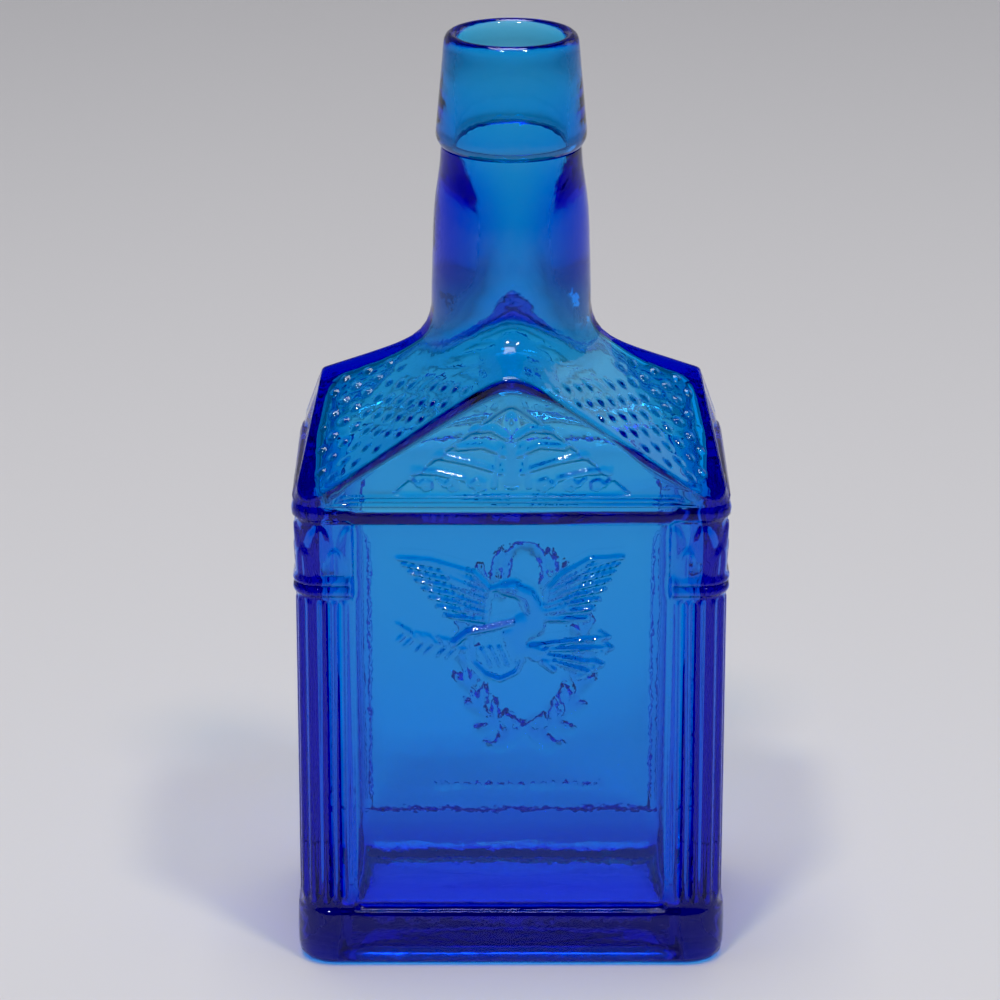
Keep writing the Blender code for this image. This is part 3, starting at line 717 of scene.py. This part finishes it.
def inner_top(plan):
    x, y = outline(plan, 50.5, 32.0, CAVITY_CORNER)
    z = inner_height(x, y)
    # From that first guess, roof and wall settle where they meet
    for _ in range(4):
        x, y = inner_wall_point(plan, z)
        z = inner_height(x, y)
    return z


def bore_flare(plan, share):
    start = towards_neck(plan, eased(BORE_PROFILE, BORE_FOOT_TOP))
    start = (start[0] + BORE_SHIFT, start[1], np.full_like(start[0], BORE_FOOT_TOP))
    bend = towards_neck(plan, BORE_FLARE_BEND)
    bend = (*bend, inner_height(*bend) + BORE_FLARE_RISE)
    end = towards_neck(plan, BORE_FLARE)
    return curve_through(start, bend, (*end, inner_height(*end)), share)


def roof_corner(plan):
    """How far the inner corner is rounded: tight behind the pediments, softer at the sides."""
    return np.where(plan["side"] % 2 == 0, ROOF_CORNER, SIDE_ROOF_CORNER)


def inner_roof_end(plan):
    z = inner_top(plan)
    x, y = inner_wall_point(plan, z)
    end_x, end_y = towards_neck(plan, BORE_FLARE)
    reach = np.minimum(roof_corner(plan) / np.hypot(end_x - x, end_y - y), 0.8)
    x = x + (end_x - x) * reach
    y = y + (end_y - y) * reach
    return x, y, inner_height(x, y)


def inner_roof(plan, share):
    start_x, start_y = towards_neck(plan, BORE_FLARE)
    end_x, end_y, _ = inner_roof_end(plan)
    x = start_x + (end_x - start_x) * share
    y = start_y + (end_y - start_y) * share
    return x, y, inner_height(x, y)


def inner_eave(plan, share):
    top = inner_top(plan)
    bend = (*inner_wall_point(plan, top), top)
    low = top - 0.6 * roof_corner(plan)
    return curve_through(inner_roof_end(plan), bend, (*inner_wall_point(plan, low), low), share)


def inner_wall(plan, share):
    high = inner_top(plan) - 0.6 * roof_corner(plan)
    step_top = np.minimum(STEP_TOP, high - 0.5)
    # Most of the rows are spent on the step behind the cornice
    z = high
    stretches = (
        (0.0, ROWS_TO_STEP, step_top - high),
        (ROWS_TO_STEP, ROWS_PAST_STEP, STEP_FOOT - step_top),
        (ROWS_PAST_STEP, 1.0, FLOOR + FLOOR_CORNER - STEP_FOOT),
    )
    for first, last, drop in stretches:
        z = z + drop * np.clip((share - first) / (last - first), 0, 1)
    return (*inner_wall_point(plan, z), z)


def floor_corner(plan, share):
    start_z = np.full_like(share, FLOOR + FLOOR_CORNER)
    start = (*inner_wall_point(plan, start_z), start_z)
    bend = (start[0], start[1], np.full_like(share, FLOOR))
    end = outline(plan, FLOOR_HALF_X, FLOOR_HALF_Y, FLOOR_PLAN_CORNER)
    return curve_through(start, bend, (*end, np.full_like(share, FLOOR_EDGE)), share)


def floor(plan, share):
    x, y = outline(plan, FLOOR_HALF_X, FLOOR_HALF_Y, FLOOR_PLAN_CORNER)
    spread = 1 - (1 - FLOOR_MIDDLE) * share
    return x * spread, y * spread, FLOOR_EDGE + FLOOR_DOME * (1 - spread ** 2)


# ---------------------------------------------------------------------------------------------
# The glass body as one closed skin. Molten glass has no joints, so the outside and the inside are
# one surface: it is divided finely where the mould is engraved and coarsely where the wall is plain.
# ---------------------------------------------------------------------------------------------
MM = 0.001
# Name, rows, shape, and how finely a plain cell is divided round the plan and up the profile
BANDS = (
    ("push_up", 3, push_up, (1, 2)),
    ("resting_ring", 1, resting_ring, (1, 2)),
    ("heel", 1, heel, (2, 4)),
    ("plinth", 2, plinth, (2, 2)),
    ("ledge", 1, ledge, (2, 4)),
    ("wall", 28, wall_band, (1, 1)),
    ("cornice", 1, cornice, (2, 8)),
    ("ribs", 1, gable_face(eave_start, rib_top), (2, 16)),
    ("gable", 7, gable_face(rib_top, face_top), (2, 2)),
    ("rake_edge", 1, rake_edge, (4, 8)),
    ("roof", 6, roof, (8, 8)),
    ("neck_fillet", 1, neck_fillet, (2, 4)),
    ("neck_foot", 2, neck_foot, (2, 2)),
    ("neck", 8, neck, (2, 1)),
    ("neck_top", 1, neck_top, (2, 2)),
    ("bore", 8, bore, (2, 1)),
    ("bore_flare", 2, bore_flare, (2, 2)),
    ("inner_roof", 6, inner_roof, (2, 1)),
    ("inner_eave", 1, inner_eave, (2, 8)),
    ("inner_wall", 28, inner_wall, (1, 1)),
    ("floor_corner", 1, floor_corner, (2, 4)),
    ("floor", 3, floor, (1, 2)),
)


def cell_steps(name, plain_steps, share, kind, side, along):
    """How finely one coarse cell is divided: more where the mould is engraved."""
    if name == "wall":
        z = WALL_START + (WALL_END - WALL_START) * share
        if kind != "panel":
            if z > REED_END - 2:
                return (8, 8 if z < LEAF_TIERS[0][0] or along < 0 else 4) if kind != "step" else (2, 4)
            if kind == "step":
                return 4, 1
            return (8, 4) if z < REED_START + 4 else (8, 1)
        if side == 0 and abs(along) < 32 and 82 < z < 121:
            return 8, 8
        from_middle = along - WREATH_MIDDLE[0]
        ring = math.hypot(from_middle / WREATH_REACH[0], (z - WREATH_MIDDLE[1]) / WREATH_REACH[1])
        if side == 2 and (0.70 < ring < 1.32 or abs(from_middle) < 9 and 82 < z < 101):
            return 8, 4
        if side == 2 and abs(z - BEAD_HEIGHT) < 3 and abs(along) < BEAD_HALF_ROW:
            return 8, 8
    if name == "gable":
        if side % 2 == 0:
            fine = abs(along) < 37 - 29 * share and share < 0.82
            return (8, 8 if side == 0 else 4) if kind == "panel" and fine else (4, 2)
        return (4, 4) if kind == "panel" and abs(along) < 20 - 17 * share else (2, 2)
    if name == "inner_wall" and share < 0.5:
        return 1, 2
    if name == "roof":
        if share > 0.6:
            return (4, 8) if share < 0.85 else (4, 4)
        if side % 2 == 0 and abs(along) < 24 and kind == "panel":
            return (4, 2) if abs(along) < 9 else (8, 4)
    return plain_steps


def graded(steps):
    """Neighbouring cells differ by a factor of two at most, so no triangle gets very long."""
    changed = True
    while changed:
        before = steps.copy()
        for axis in (0, 1):
            for shift in (-1, 1):
                shifted = np.roll(steps, shift, axis=axis)
                if axis == 1:
                    shifted[:, 0 if shift == 1 else -1] = 1
                steps = np.maximum(steps, shifted // 2)
        changed = (steps != before).any()
    return steps


def body_skin():
    """Points, faces, the plan values of every point and the band it belongs to."""
    rows = [(index, cell, band[1]) for index, band in enumerate(BANDS) for cell in range(band[1])]
    steps = np.ones((2, len(PLAN_CELLS), len(rows)), int)
    for i, (kind, side, along) in enumerate(PLAN_CELLS):
        for j, (index, cell, count) in enumerate(rows):
            name, _, _, plain_steps = BANDS[index]
            steps[:, i, j] = cell_steps(name, plain_steps, (cell + 0.5) / count, kind, side, along)
    steps = np.array([graded(layer) for layer in steps])
    tall = len(rows) * FINEST
    used = np.zeros((PLAN_STEPS, tall + 1), bool)
    blocks = []
    for i in range(len(PLAN_CELLS)):
        for j in range(len(rows)):
            across, up = FINEST // steps[0, i, j], FINEST // steps[1, i, j]
            for a in range(i * FINEST, (i + 1) * FINEST, across):
                for b in range(j * FINEST, (j + 1) * FINEST, up):
                    blocks.append((a, b, across, up))
            columns = np.arange(i * FINEST, (i + 1) * FINEST + 1, across) % PLAN_STEPS
            used[np.ix_(columns, np.arange(j * FINEST, (j + 1) * FINEST + 1, up))] = True
    number = np.full(used.shape, -1)
    number[used] = np.arange(used.sum())
    place_i, place_j = np.nonzero(used)
    points = np.zeros((len(place_i), 3))
    band_of_row = np.array([row[0] for row in rows])
    row_of = np.minimum(place_j // FINEST, len(rows) - 1)
    band_of = band_of_row[row_of]
    first_row = {}
    for j, row in enumerate(rows):
        first_row.setdefault(row[0], j)
    for index, (_, count, shape, _) in enumerate(BANDS):
        chosen = band_of == index
        part = {key: values[place_i[chosen]] for key, values in PLAN.items()}
        share = (place_j[chosen] / FINEST - first_row[index]) / count
        points[chosen] = np.column_stack(shape(part, share))
    faces = []
    for a, b, across, up in blocks:
        right = (a + across) % PLAN_STEPS
        corners = [number[(a + k) % PLAN_STEPS, b] for k in range(across)]
        corners += list(number[right, b:b + up])
        corners += [number[(a + k) % PLAN_STEPS, b + up] for k in range(across, 0, -1)]
        corners += list(number[a, b + up:b:-1])
        faces.append([corner for corner in corners if corner >= 0])
    faces.append([n for n in number[::-1, 0] if n >= 0])
    faces.append([n for n in number[:, tall] if n >= 0])
    return points, faces, {key: values[place_i] for key, values in PLAN.items()}, band_of


SKIN_POINTS, SKIN_FACES, SKIN_PLAN, SKIN_BAND = body_skin()
body_mesh = bpy.data.meshes.new("bottle_body")
body_mesh.from_pydata([tuple(point) for point in SKIN_POINTS * MM], [], SKIN_FACES)
body_mesh.update()
body = bpy.data.objects.new("bottle_body", body_mesh)
bpy.context.scene.collection.objects.link(body)


def band_mask(*names):
    wanted = [index for index, band in enumerate(BANDS) if band[0] in names]
    return np.isin(SKIN_BAND, wanted)


def set_attribute(mesh, name, values):
    layer = mesh.attributes.new(name, "FLOAT", "POINT")
    layer.data.foreach_set("value", np.asarray(values, dtype=np.float32))


def nail_share(x, y, z):
    """One on the studded slopes, nothing along the ridges, along the rakes and round the neck."""
    off_ridges = smooth_step(10.5, 13.5, np.abs(x)) * smooth_step(3.0, 5.0, np.abs(y))
    off_neck = smooth_step(29.5, 32.5, np.hypot(x, y))
    to_side_gable = EAVE_HALF_X - np.abs(x) - SIDE_LEAN * (z - EAVE)
    off_rakes = smooth_step(1.5, 3.0, EAVE_HALF_Y - np.abs(y)) * smooth_step(3.5, 5.0, to_side_gable)
    return band_mask("roof") * off_ridges * off_neck * off_rakes


SKIN_HEIGHT = SKIN_POINTS[:, 2]
on_reeds = band_mask("wall") * reed_weight(SKIN_HEIGHT) * (SKIN_PLAN["column"] > 0.99)
set_attribute(body_mesh, "nail_share", nail_share(*SKIN_POINTS.T))
set_attribute(body_mesh, "reed_share", on_reeds)
set_attribute(body_mesh, "reed_place", SKIN_PLAN["travel"] / COLUMN_LENGTH * REEDS)
# The resting ring is flat, so the waves fade out towards it
set_attribute(body_mesh, "wave_share", smooth_step(0.5, 6.0, SKIN_HEIGHT))

# The engraved repeats, laid over the skin: hobnails on the roof, reeds on the columns, and the
# slow waves that blown glass keeps
NAIL_PITCH = 4.2
NAIL_RADIUS = 1.2
NAIL_HEIGHT = 0.8
NAIL_POINT = 1.25
WAVE_LENGTH = 16.0
WAVE_DEPTH = 0.10
WAVE_SEED = 4.0


class Wiring:
    """A node tree that is wired one node at a time."""

    def __init__(self, tree):
        self.tree = tree

    def wire(self, node, wires):
        for socket, source in dict(wires).items():
            if isinstance(source, bpy.types.NodeSocket):
                self.tree.links.new(source, node.inputs[socket])
            else:
                node.inputs[socket].default_value = source

    def put(self, kind, wires=(), output=0, **settings):
        node = self.tree.nodes.new(kind)
        for key, value in settings.items():
            setattr(node, key, value)
        self.wire(node, wires)
        return node.outputs[output]


class GeometryTree(Wiring):
    """A geometry tree with named inputs, ending in one realized mesh with its material."""

    def __init__(self, name, inputs):
        super().__init__(bpy.data.node_groups.new(name, "GeometryNodeTree"))
        self.tree.interface.new_socket("Geometry", in_out="INPUT", socket_type="NodeSocketGeometry")
        self.values = {}
        for label, value in inputs.items():
            socket = self.tree.interface.new_socket(label, in_out="INPUT", socket_type="NodeSocketFloat")
            self.values[socket.identifier] = value
        self.tree.interface.new_socket("Geometry", in_out="OUTPUT", socket_type="NodeSocketGeometry")
        self.inputs = self.tree.nodes.new("NodeGroupInput").outputs
        self.result = self.tree.nodes.new("NodeGroupOutput").inputs[0]

    def math(self, operation, *sources):
        return self.put("ShaderNodeMath", enumerate(sources), operation=operation)

    def attribute(self, name):
        return self.put("GeometryNodeInputNamedAttribute", {"Name": name}, data_type="FLOAT")

    def finish(self, geometry, material):
        whole = self.put("GeometryNodeRealizeInstances", {"Geometry": geometry})
        finished = self.put("GeometryNodeSetMaterial", {"Geometry": whole, "Material": material})
        self.tree.links.new(finished, self.result)

    def apply_to(self, piece):
        modifier = piece.modifiers.new(self.tree.name, "NODES")
        modifier.node_group = self.tree
        for identifier, value in self.values.items():
            modifier[identifier] = value
        evaluated = piece.evaluated_get(bpy.context.evaluated_depsgraph_get())
        mesh = bpy.data.meshes.new_from_object(evaluated)
        mesh.name = piece.name
        piece.modifiers.remove(modifier)
        piece.data = mesh


def engraving_tree(material):
    tree = GeometryTree("Engraving", {
        "Nail pitch": NAIL_PITCH * MM,
        "Nail radius": NAIL_RADIUS * MM,
        "Nail height": NAIL_HEIGHT * MM,
        "Reed height": REED_HEIGHT * MM,
        "Waves per metre": 1 / (WAVE_LENGTH * MM),
        "Wave depth": WAVE_DEPTH * MM,
        "Seed": WAVE_SEED,
    })
    geometry, pitch, radius, nail_height, reed_height, waves, depth, seed = tree.inputs[:8]
    position = tree.put("GeometryNodeInputPosition")
    x, y = (tree.put("ShaderNodeSeparateXYZ", {0: position}, output=axis) for axis in "XY")
    # Staggered rows: a square net turned by 45 degrees
    offsets = []
    for operation in ("ADD", "SUBTRACT"):
        turned = tree.math("MULTIPLY", tree.math(operation, x, y), math.sqrt(0.5))
        turns = tree.math("DIVIDE", turned, pitch)
        fraction = tree.math("SUBTRACT", tree.math("FRACT", turns), 0.5)
        offsets.append(tree.math("MULTIPLY", fraction, pitch))
    squares = [tree.math("MULTIPLY", offset, offset) for offset in offsets]
    gap = tree.math("SQRT", tree.math("ADD", *squares))
    near = tree.math("SUBTRACT", 1.0, tree.math("MINIMUM", tree.math("DIVIDE", gap, radius), 1.0))
    nail = tree.math("MULTIPLY", tree.math("POWER", near, NAIL_POINT), nail_height)
    nail = tree.math("MULTIPLY", nail, tree.attribute("nail_share"))
    half_turns = tree.math("MULTIPLY", tree.attribute("reed_place"), math.pi)
    swing = tree.math("ABSOLUTE", tree.math("SINE", half_turns))
    reed = tree.math("MULTIPLY", tree.math("MULTIPLY", swing, reed_height), tree.attribute("reed_share"))
    noise_wires = {"Vector": position, "W": seed, "Scale": waves, "Detail": 1.5}
    noise = tree.put("ShaderNodeTexNoise", noise_wires, noise_dimensions="4D")
    wave = tree.math("MULTIPLY", tree.math("SUBTRACT", noise, 0.5), tree.math("MULTIPLY", depth, 2.0))
    wave = tree.math("MULTIPLY", wave, tree.attribute("wave_share"))
    rise = tree.math("ADD", tree.math("ADD", nail, reed), wave)
    normal = tree.put("GeometryNodeInputNormal")
    offset = tree.put("ShaderNodeVectorMath", {0: normal, "Scale": rise}, operation="SCALE")
    moved = tree.put("GeometryNodeSetPosition", {"Geometry": geometry, "Offset": offset})
    smooth = tree.put("GeometryNodeSetShadeSmooth", {"Geometry": moved})
    tree.finish(smooth, material)
    return tree


# The glass: azure through its thin walls and navy through its thick ones, because the colour is in
# the melt; fire-polished, with a faint orange-peel skin, worn on the ring it stands on and in patches
MELT_COLOUR = (0.0, 0.772, 0.980, 1.0)
MELT_DENSITY = 480.0
LAMP_TINT = (0.80, 0.82, 0.77, 1.0)
PEEL_SCALE = 260.0
PEEL_STRENGTH = 0.12
PEEL_DEPTH = 0.6
RING_WEAR = 0.25
RING_WEAR_HEIGHT = 1.2
RUBBED_SCALE = 90.0
POLISHED_ROUGHNESS = 0.012
RUBBED_ROUGHNESS = 0.06


def glass_material():
    material = bpy.data.materials.new("azure glass")
    material.use_nodes = True
    glass = Wiring(material.node_tree)
    place = glass.put("ShaderNodeTexCoord", output="Object")
    peel = glass.put("ShaderNodeTexNoise", {"Vector": place, "Scale": PEEL_SCALE, "Detail": 2.0})
    peel_wires = {"Height": peel, "Strength": PEEL_STRENGTH, "Distance": PEEL_DEPTH * MM}
    # Wear: rougher on the resting ring and in a few rubbed patches
    height = glass.put("ShaderNodeSeparateXYZ", {0: place}, output="Z")
    ring = glass.put("ShaderNodeMapRange", {
        "Value": height, "From Min": RING_WEAR_HEIGHT * MM, "From Max": 0.0,
        "To Min": 0.0, "To Max": RING_WEAR,
    })
    rubbing = glass.put("ShaderNodeTexNoise", {"Vector": place, "Scale": RUBBED_SCALE, "Detail": 6.0})
    rubbed = glass.put("ShaderNodeMapRange", {
        "Value": rubbing, "From Min": 0.45, "From Max": 0.75,
        "To Min": POLISHED_ROUGHNESS, "To Max": RUBBED_ROUGHNESS,
    })
    shader = material.node_tree.nodes["Principled BSDF"]
    glass.wire(shader, {
        "Base Color": (1.0, 1.0, 1.0, 1.0),
        "Transmission Weight": 1.0,
        "IOR": 1.5,
        "Normal": glass.put("ShaderNodeBump", peel_wires),
        "Roughness": glass.put("ShaderNodeMath", {0: ring, 1: rubbed}),
    })
    # Lamp light reaches the floor through the glass and is tinted by it on the way
    lamp_ray = glass.put("ShaderNodeLightPath", output="Is Shadow Ray")
    clear = glass.put("ShaderNodeBsdfTransparent", {"Color": LAMP_TINT})
    surface = glass.put("ShaderNodeMixShader", {0: lamp_ray, 1: shader.outputs[0], 2: clear})
    melt = glass.put("ShaderNodeVolumeAbsorption", {"Color": MELT_COLOUR, "Density": MELT_DENSITY})
    glass.wire(material.node_tree.nodes["Material Output"], {"Surface": surface, "Volume": melt})
    return material


AZURE_GLASS = glass_material()
engraving_tree(AZURE_GLASS).apply_to(body)
body.data.set_sharp_from_angle(angle=math.radians(75))
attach(body, "root")
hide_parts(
    "base_plinth", "panel_front", "panel_back", "panel_left", "panel_right",
    "column_front_left", "column_front_right", "column_back_left", "column_back_right",
    "cornice", "pediment_front", "pediment_back", "gable_left", "gable_right", "roof_shoulder",
    "neck", "eagle_relief", "wreath_relief", "palmette_front", "palmette_back",
)


# ---------------------------------------------------------------------------------------------
# Collar. A gather of glass laid hot round the top of the neck and tooled to a taper: bevelled
# underside, thickest just above it, a rounded lip, and a mouth that narrows at the top.
# ---------------------------------------------------------------------------------------------
COLLAR_MEAN = 17.0
COLLAR_FACETS = 144
# Radius and height: underside and bevel, the outer taper, the lip, then the mouth and the bore
COLLAR_PROFILE = (
    (15.20, 223.8), (17.0, 223.8), (18.70, 223.85), (19.1, 224.2), (19.55, 225.0), (19.95, 225.9),
    (20.08, 226.8), (20.05, 228.0), (19.6, 232.8), (19.12, 238.0), (18.62, 243.5), (18.2, 248.4),
    (17.95, 251.2), (17.75, 252.4), (17.3, 253.3), (16.6, 253.85), (15.9, 254.0), (15.1, 253.8),
    (14.4, 253.2), (14.0, 252.2), (13.95, 250.8), (14.25, 248.6), (14.9, 245.6), (15.3, 241.5),
    (15.35, 236.0), (15.3, 230.0), (15.22, 226.0),
)


def collar_tree(material):
    tree = GeometryTree("Turned ring", {"Mean radius": COLLAR_MEAN * MM, "Facets": COLLAR_FACETS})
    geometry, radius, facets = tree.inputs[:3]
    profile = tree.put("GeometryNodeMeshToCurve", {"Mesh": geometry})
    path = tree.put("GeometryNodeCurvePrimitiveCircle", {"Resolution": facets, "Radius": radius})
    upright = tree.put("GeometryNodeSetCurveNormal", {"Curve": path}, mode="Z_UP")
    ring = tree.put("GeometryNodeCurveToMesh", {"Curve": upright, "Profile Curve": profile})
    smooth = tree.put("GeometryNodeSetShadeSmooth", {"Geometry": ring})
    tree.finish(smooth, material)
    return tree


# Swept round the axis, the first number of a point runs outwards and the second one downwards
collar_points = [(radius - COLLAR_MEAN, -height, 0.0) for radius, height in reversed(COLLAR_PROFILE)]
collar_edges = [(index, (index + 1) % len(collar_points)) for index in range(len(collar_points))]
collar_mesh = bpy.data.meshes.new("collar_ring")
collar_mesh.from_pydata([tuple(MM * size for size in point) for point in collar_points], collar_edges, [])
collar = bpy.data.objects.new("collar_ring", collar_mesh)
bpy.context.scene.collection.objects.link(collar)
collar_tree(AZURE_GLASS).apply_to(collar)
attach(collar, "root")
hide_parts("collar")


# ---------------------------------------------------------------------------------------------
# Studio. A pale matt floor, round like a shallow bowl so that no edge shows behind the bottle, under
# one large soft lamp. Two smaller lamps give the glints, and a weak wide one lifts the right side.
# ---------------------------------------------------------------------------------------------
BOWL_RADIUS = 2.3
BOWL_CORNER = 0.45
BOWL_CORNER_ROWS = 12
BOWL_RIM = 0.85
BOWL_STEPS = 96


def bowl_mesh():
    """Rings of points round the corner and up the rim, and one disc that closes the middle."""
    profile = []
    for row in range(BOWL_CORNER_ROWS + 1):
        turn = math.pi / 2 * row / BOWL_CORNER_ROWS
        radius = BOWL_RADIUS - BOWL_CORNER + BOWL_CORNER * math.sin(turn)
        profile.append((radius, BOWL_CORNER * (1 - math.cos(turn))))
    profile.append((BOWL_RADIUS, BOWL_RIM))
    points = []
    for radius, z in profile:
        for step in range(BOWL_STEPS):
            turn = 2 * math.pi * step / BOWL_STEPS
            points.append((radius * math.cos(turn), radius * math.sin(turn), z))
    faces = []
    for low in range(0, BOWL_STEPS * (len(profile) - 1), BOWL_STEPS):
        high = low + BOWL_STEPS
        for step in range(BOWL_STEPS):
            onward = (step + 1) % BOWL_STEPS
            faces.append((low + step, low + onward, high + onward, high + step))
    faces.append(tuple(range(BOWL_STEPS)))
    mesh = bpy.data.meshes.new("studio_floor")
    mesh.from_pydata(points, [], faces)
    mesh.shade_smooth()
    mesh.set_sharp_from_angle(angle=math.radians(30))
    return mesh


def cloth_material():
    material = bpy.data.materials.new("pale cloth floor")
    material.use_nodes = True
    shader = material.node_tree.nodes["Principled BSDF"]
    shader.inputs["Base Color"].default_value = (0.66, 0.65, 0.67, 1.0)
    shader.inputs["Roughness"].default_value = 0.9
    shader.inputs["Specular IOR Level"].default_value = 0.2
    return material


bowl = bpy.data.objects.new("studio_floor", bowl_mesh())
bpy.context.scene.collection.objects.link(bowl)
bowl.data.materials.append(cloth_material())


def add_light(name, place, target, size, power):
    """A square soft lamp, turned to face its target."""
    light = bpy.data.lights.new(name, "AREA")
    light.size = size
    light.energy = power
    lamp = bpy.data.objects.new(name, light)
    bpy.context.scene.collection.objects.link(lamp)
    lamp.location = place
    direction = np.array(target) - np.array(place)
    yaw = math.atan2(direction[0], -direction[1])
    pitch = math.atan2(math.hypot(direction[0], direction[1]), -direction[2])
    lamp.rotation_euler = (pitch, 0.0, yaw + math.pi)


add_light("overhead softbox", (-0.1, 0.2, 2.0), (0, 0.2, 0.0), 0.9, 16.0)
add_light("left lamp", (-0.30, -0.75, 1.50), (0, 0, 0.15), 0.16, 7.0)
add_light("right lamp", (0.42, -0.60, 1.45), (0, 0, 0.15), 0.16, 6.0)
add_light("right card", (1.5, 1.2, 1.1), (0, 0, 0.15), 0.9, 1.5)

world = bpy.data.worlds.new("studio")
world.use_nodes = True
room_light = world.node_tree.nodes["Background"]
room_light.inputs["Color"].default_value = (0.93, 0.95, 1.0, 1.0)
room_light.inputs["Strength"].default_value = 0.20
bpy.context.scene.world = world

camera_data = bpy.data.cameras.new("camera")
camera_data.lens = 158.5
camera_data.sensor_width = 36.0
camera = bpy.data.objects.new("camera", camera_data)
camera.location = (-0.003, -1.129, 0.532)
camera.rotation_euler = (math.radians(70.1), 0.0, 0.0)
bpy.context.scene.collection.objects.link(camera)
bpy.context.scene.camera = camera
grading = bpy.context.scene.view_settings
grading.view_transform = "Standard"
grading.use_curve_mapping = True
grading.curve_mapping.black_level = (0.012, 0.012, 0.012)
grading.curve_mapping.update()
bpy.context.scene.cycles.max_bounces = 24
bpy.context.scene.cycles.transmission_bounces = 24
bpy.context.scene.cycles.glossy_bounces = 12
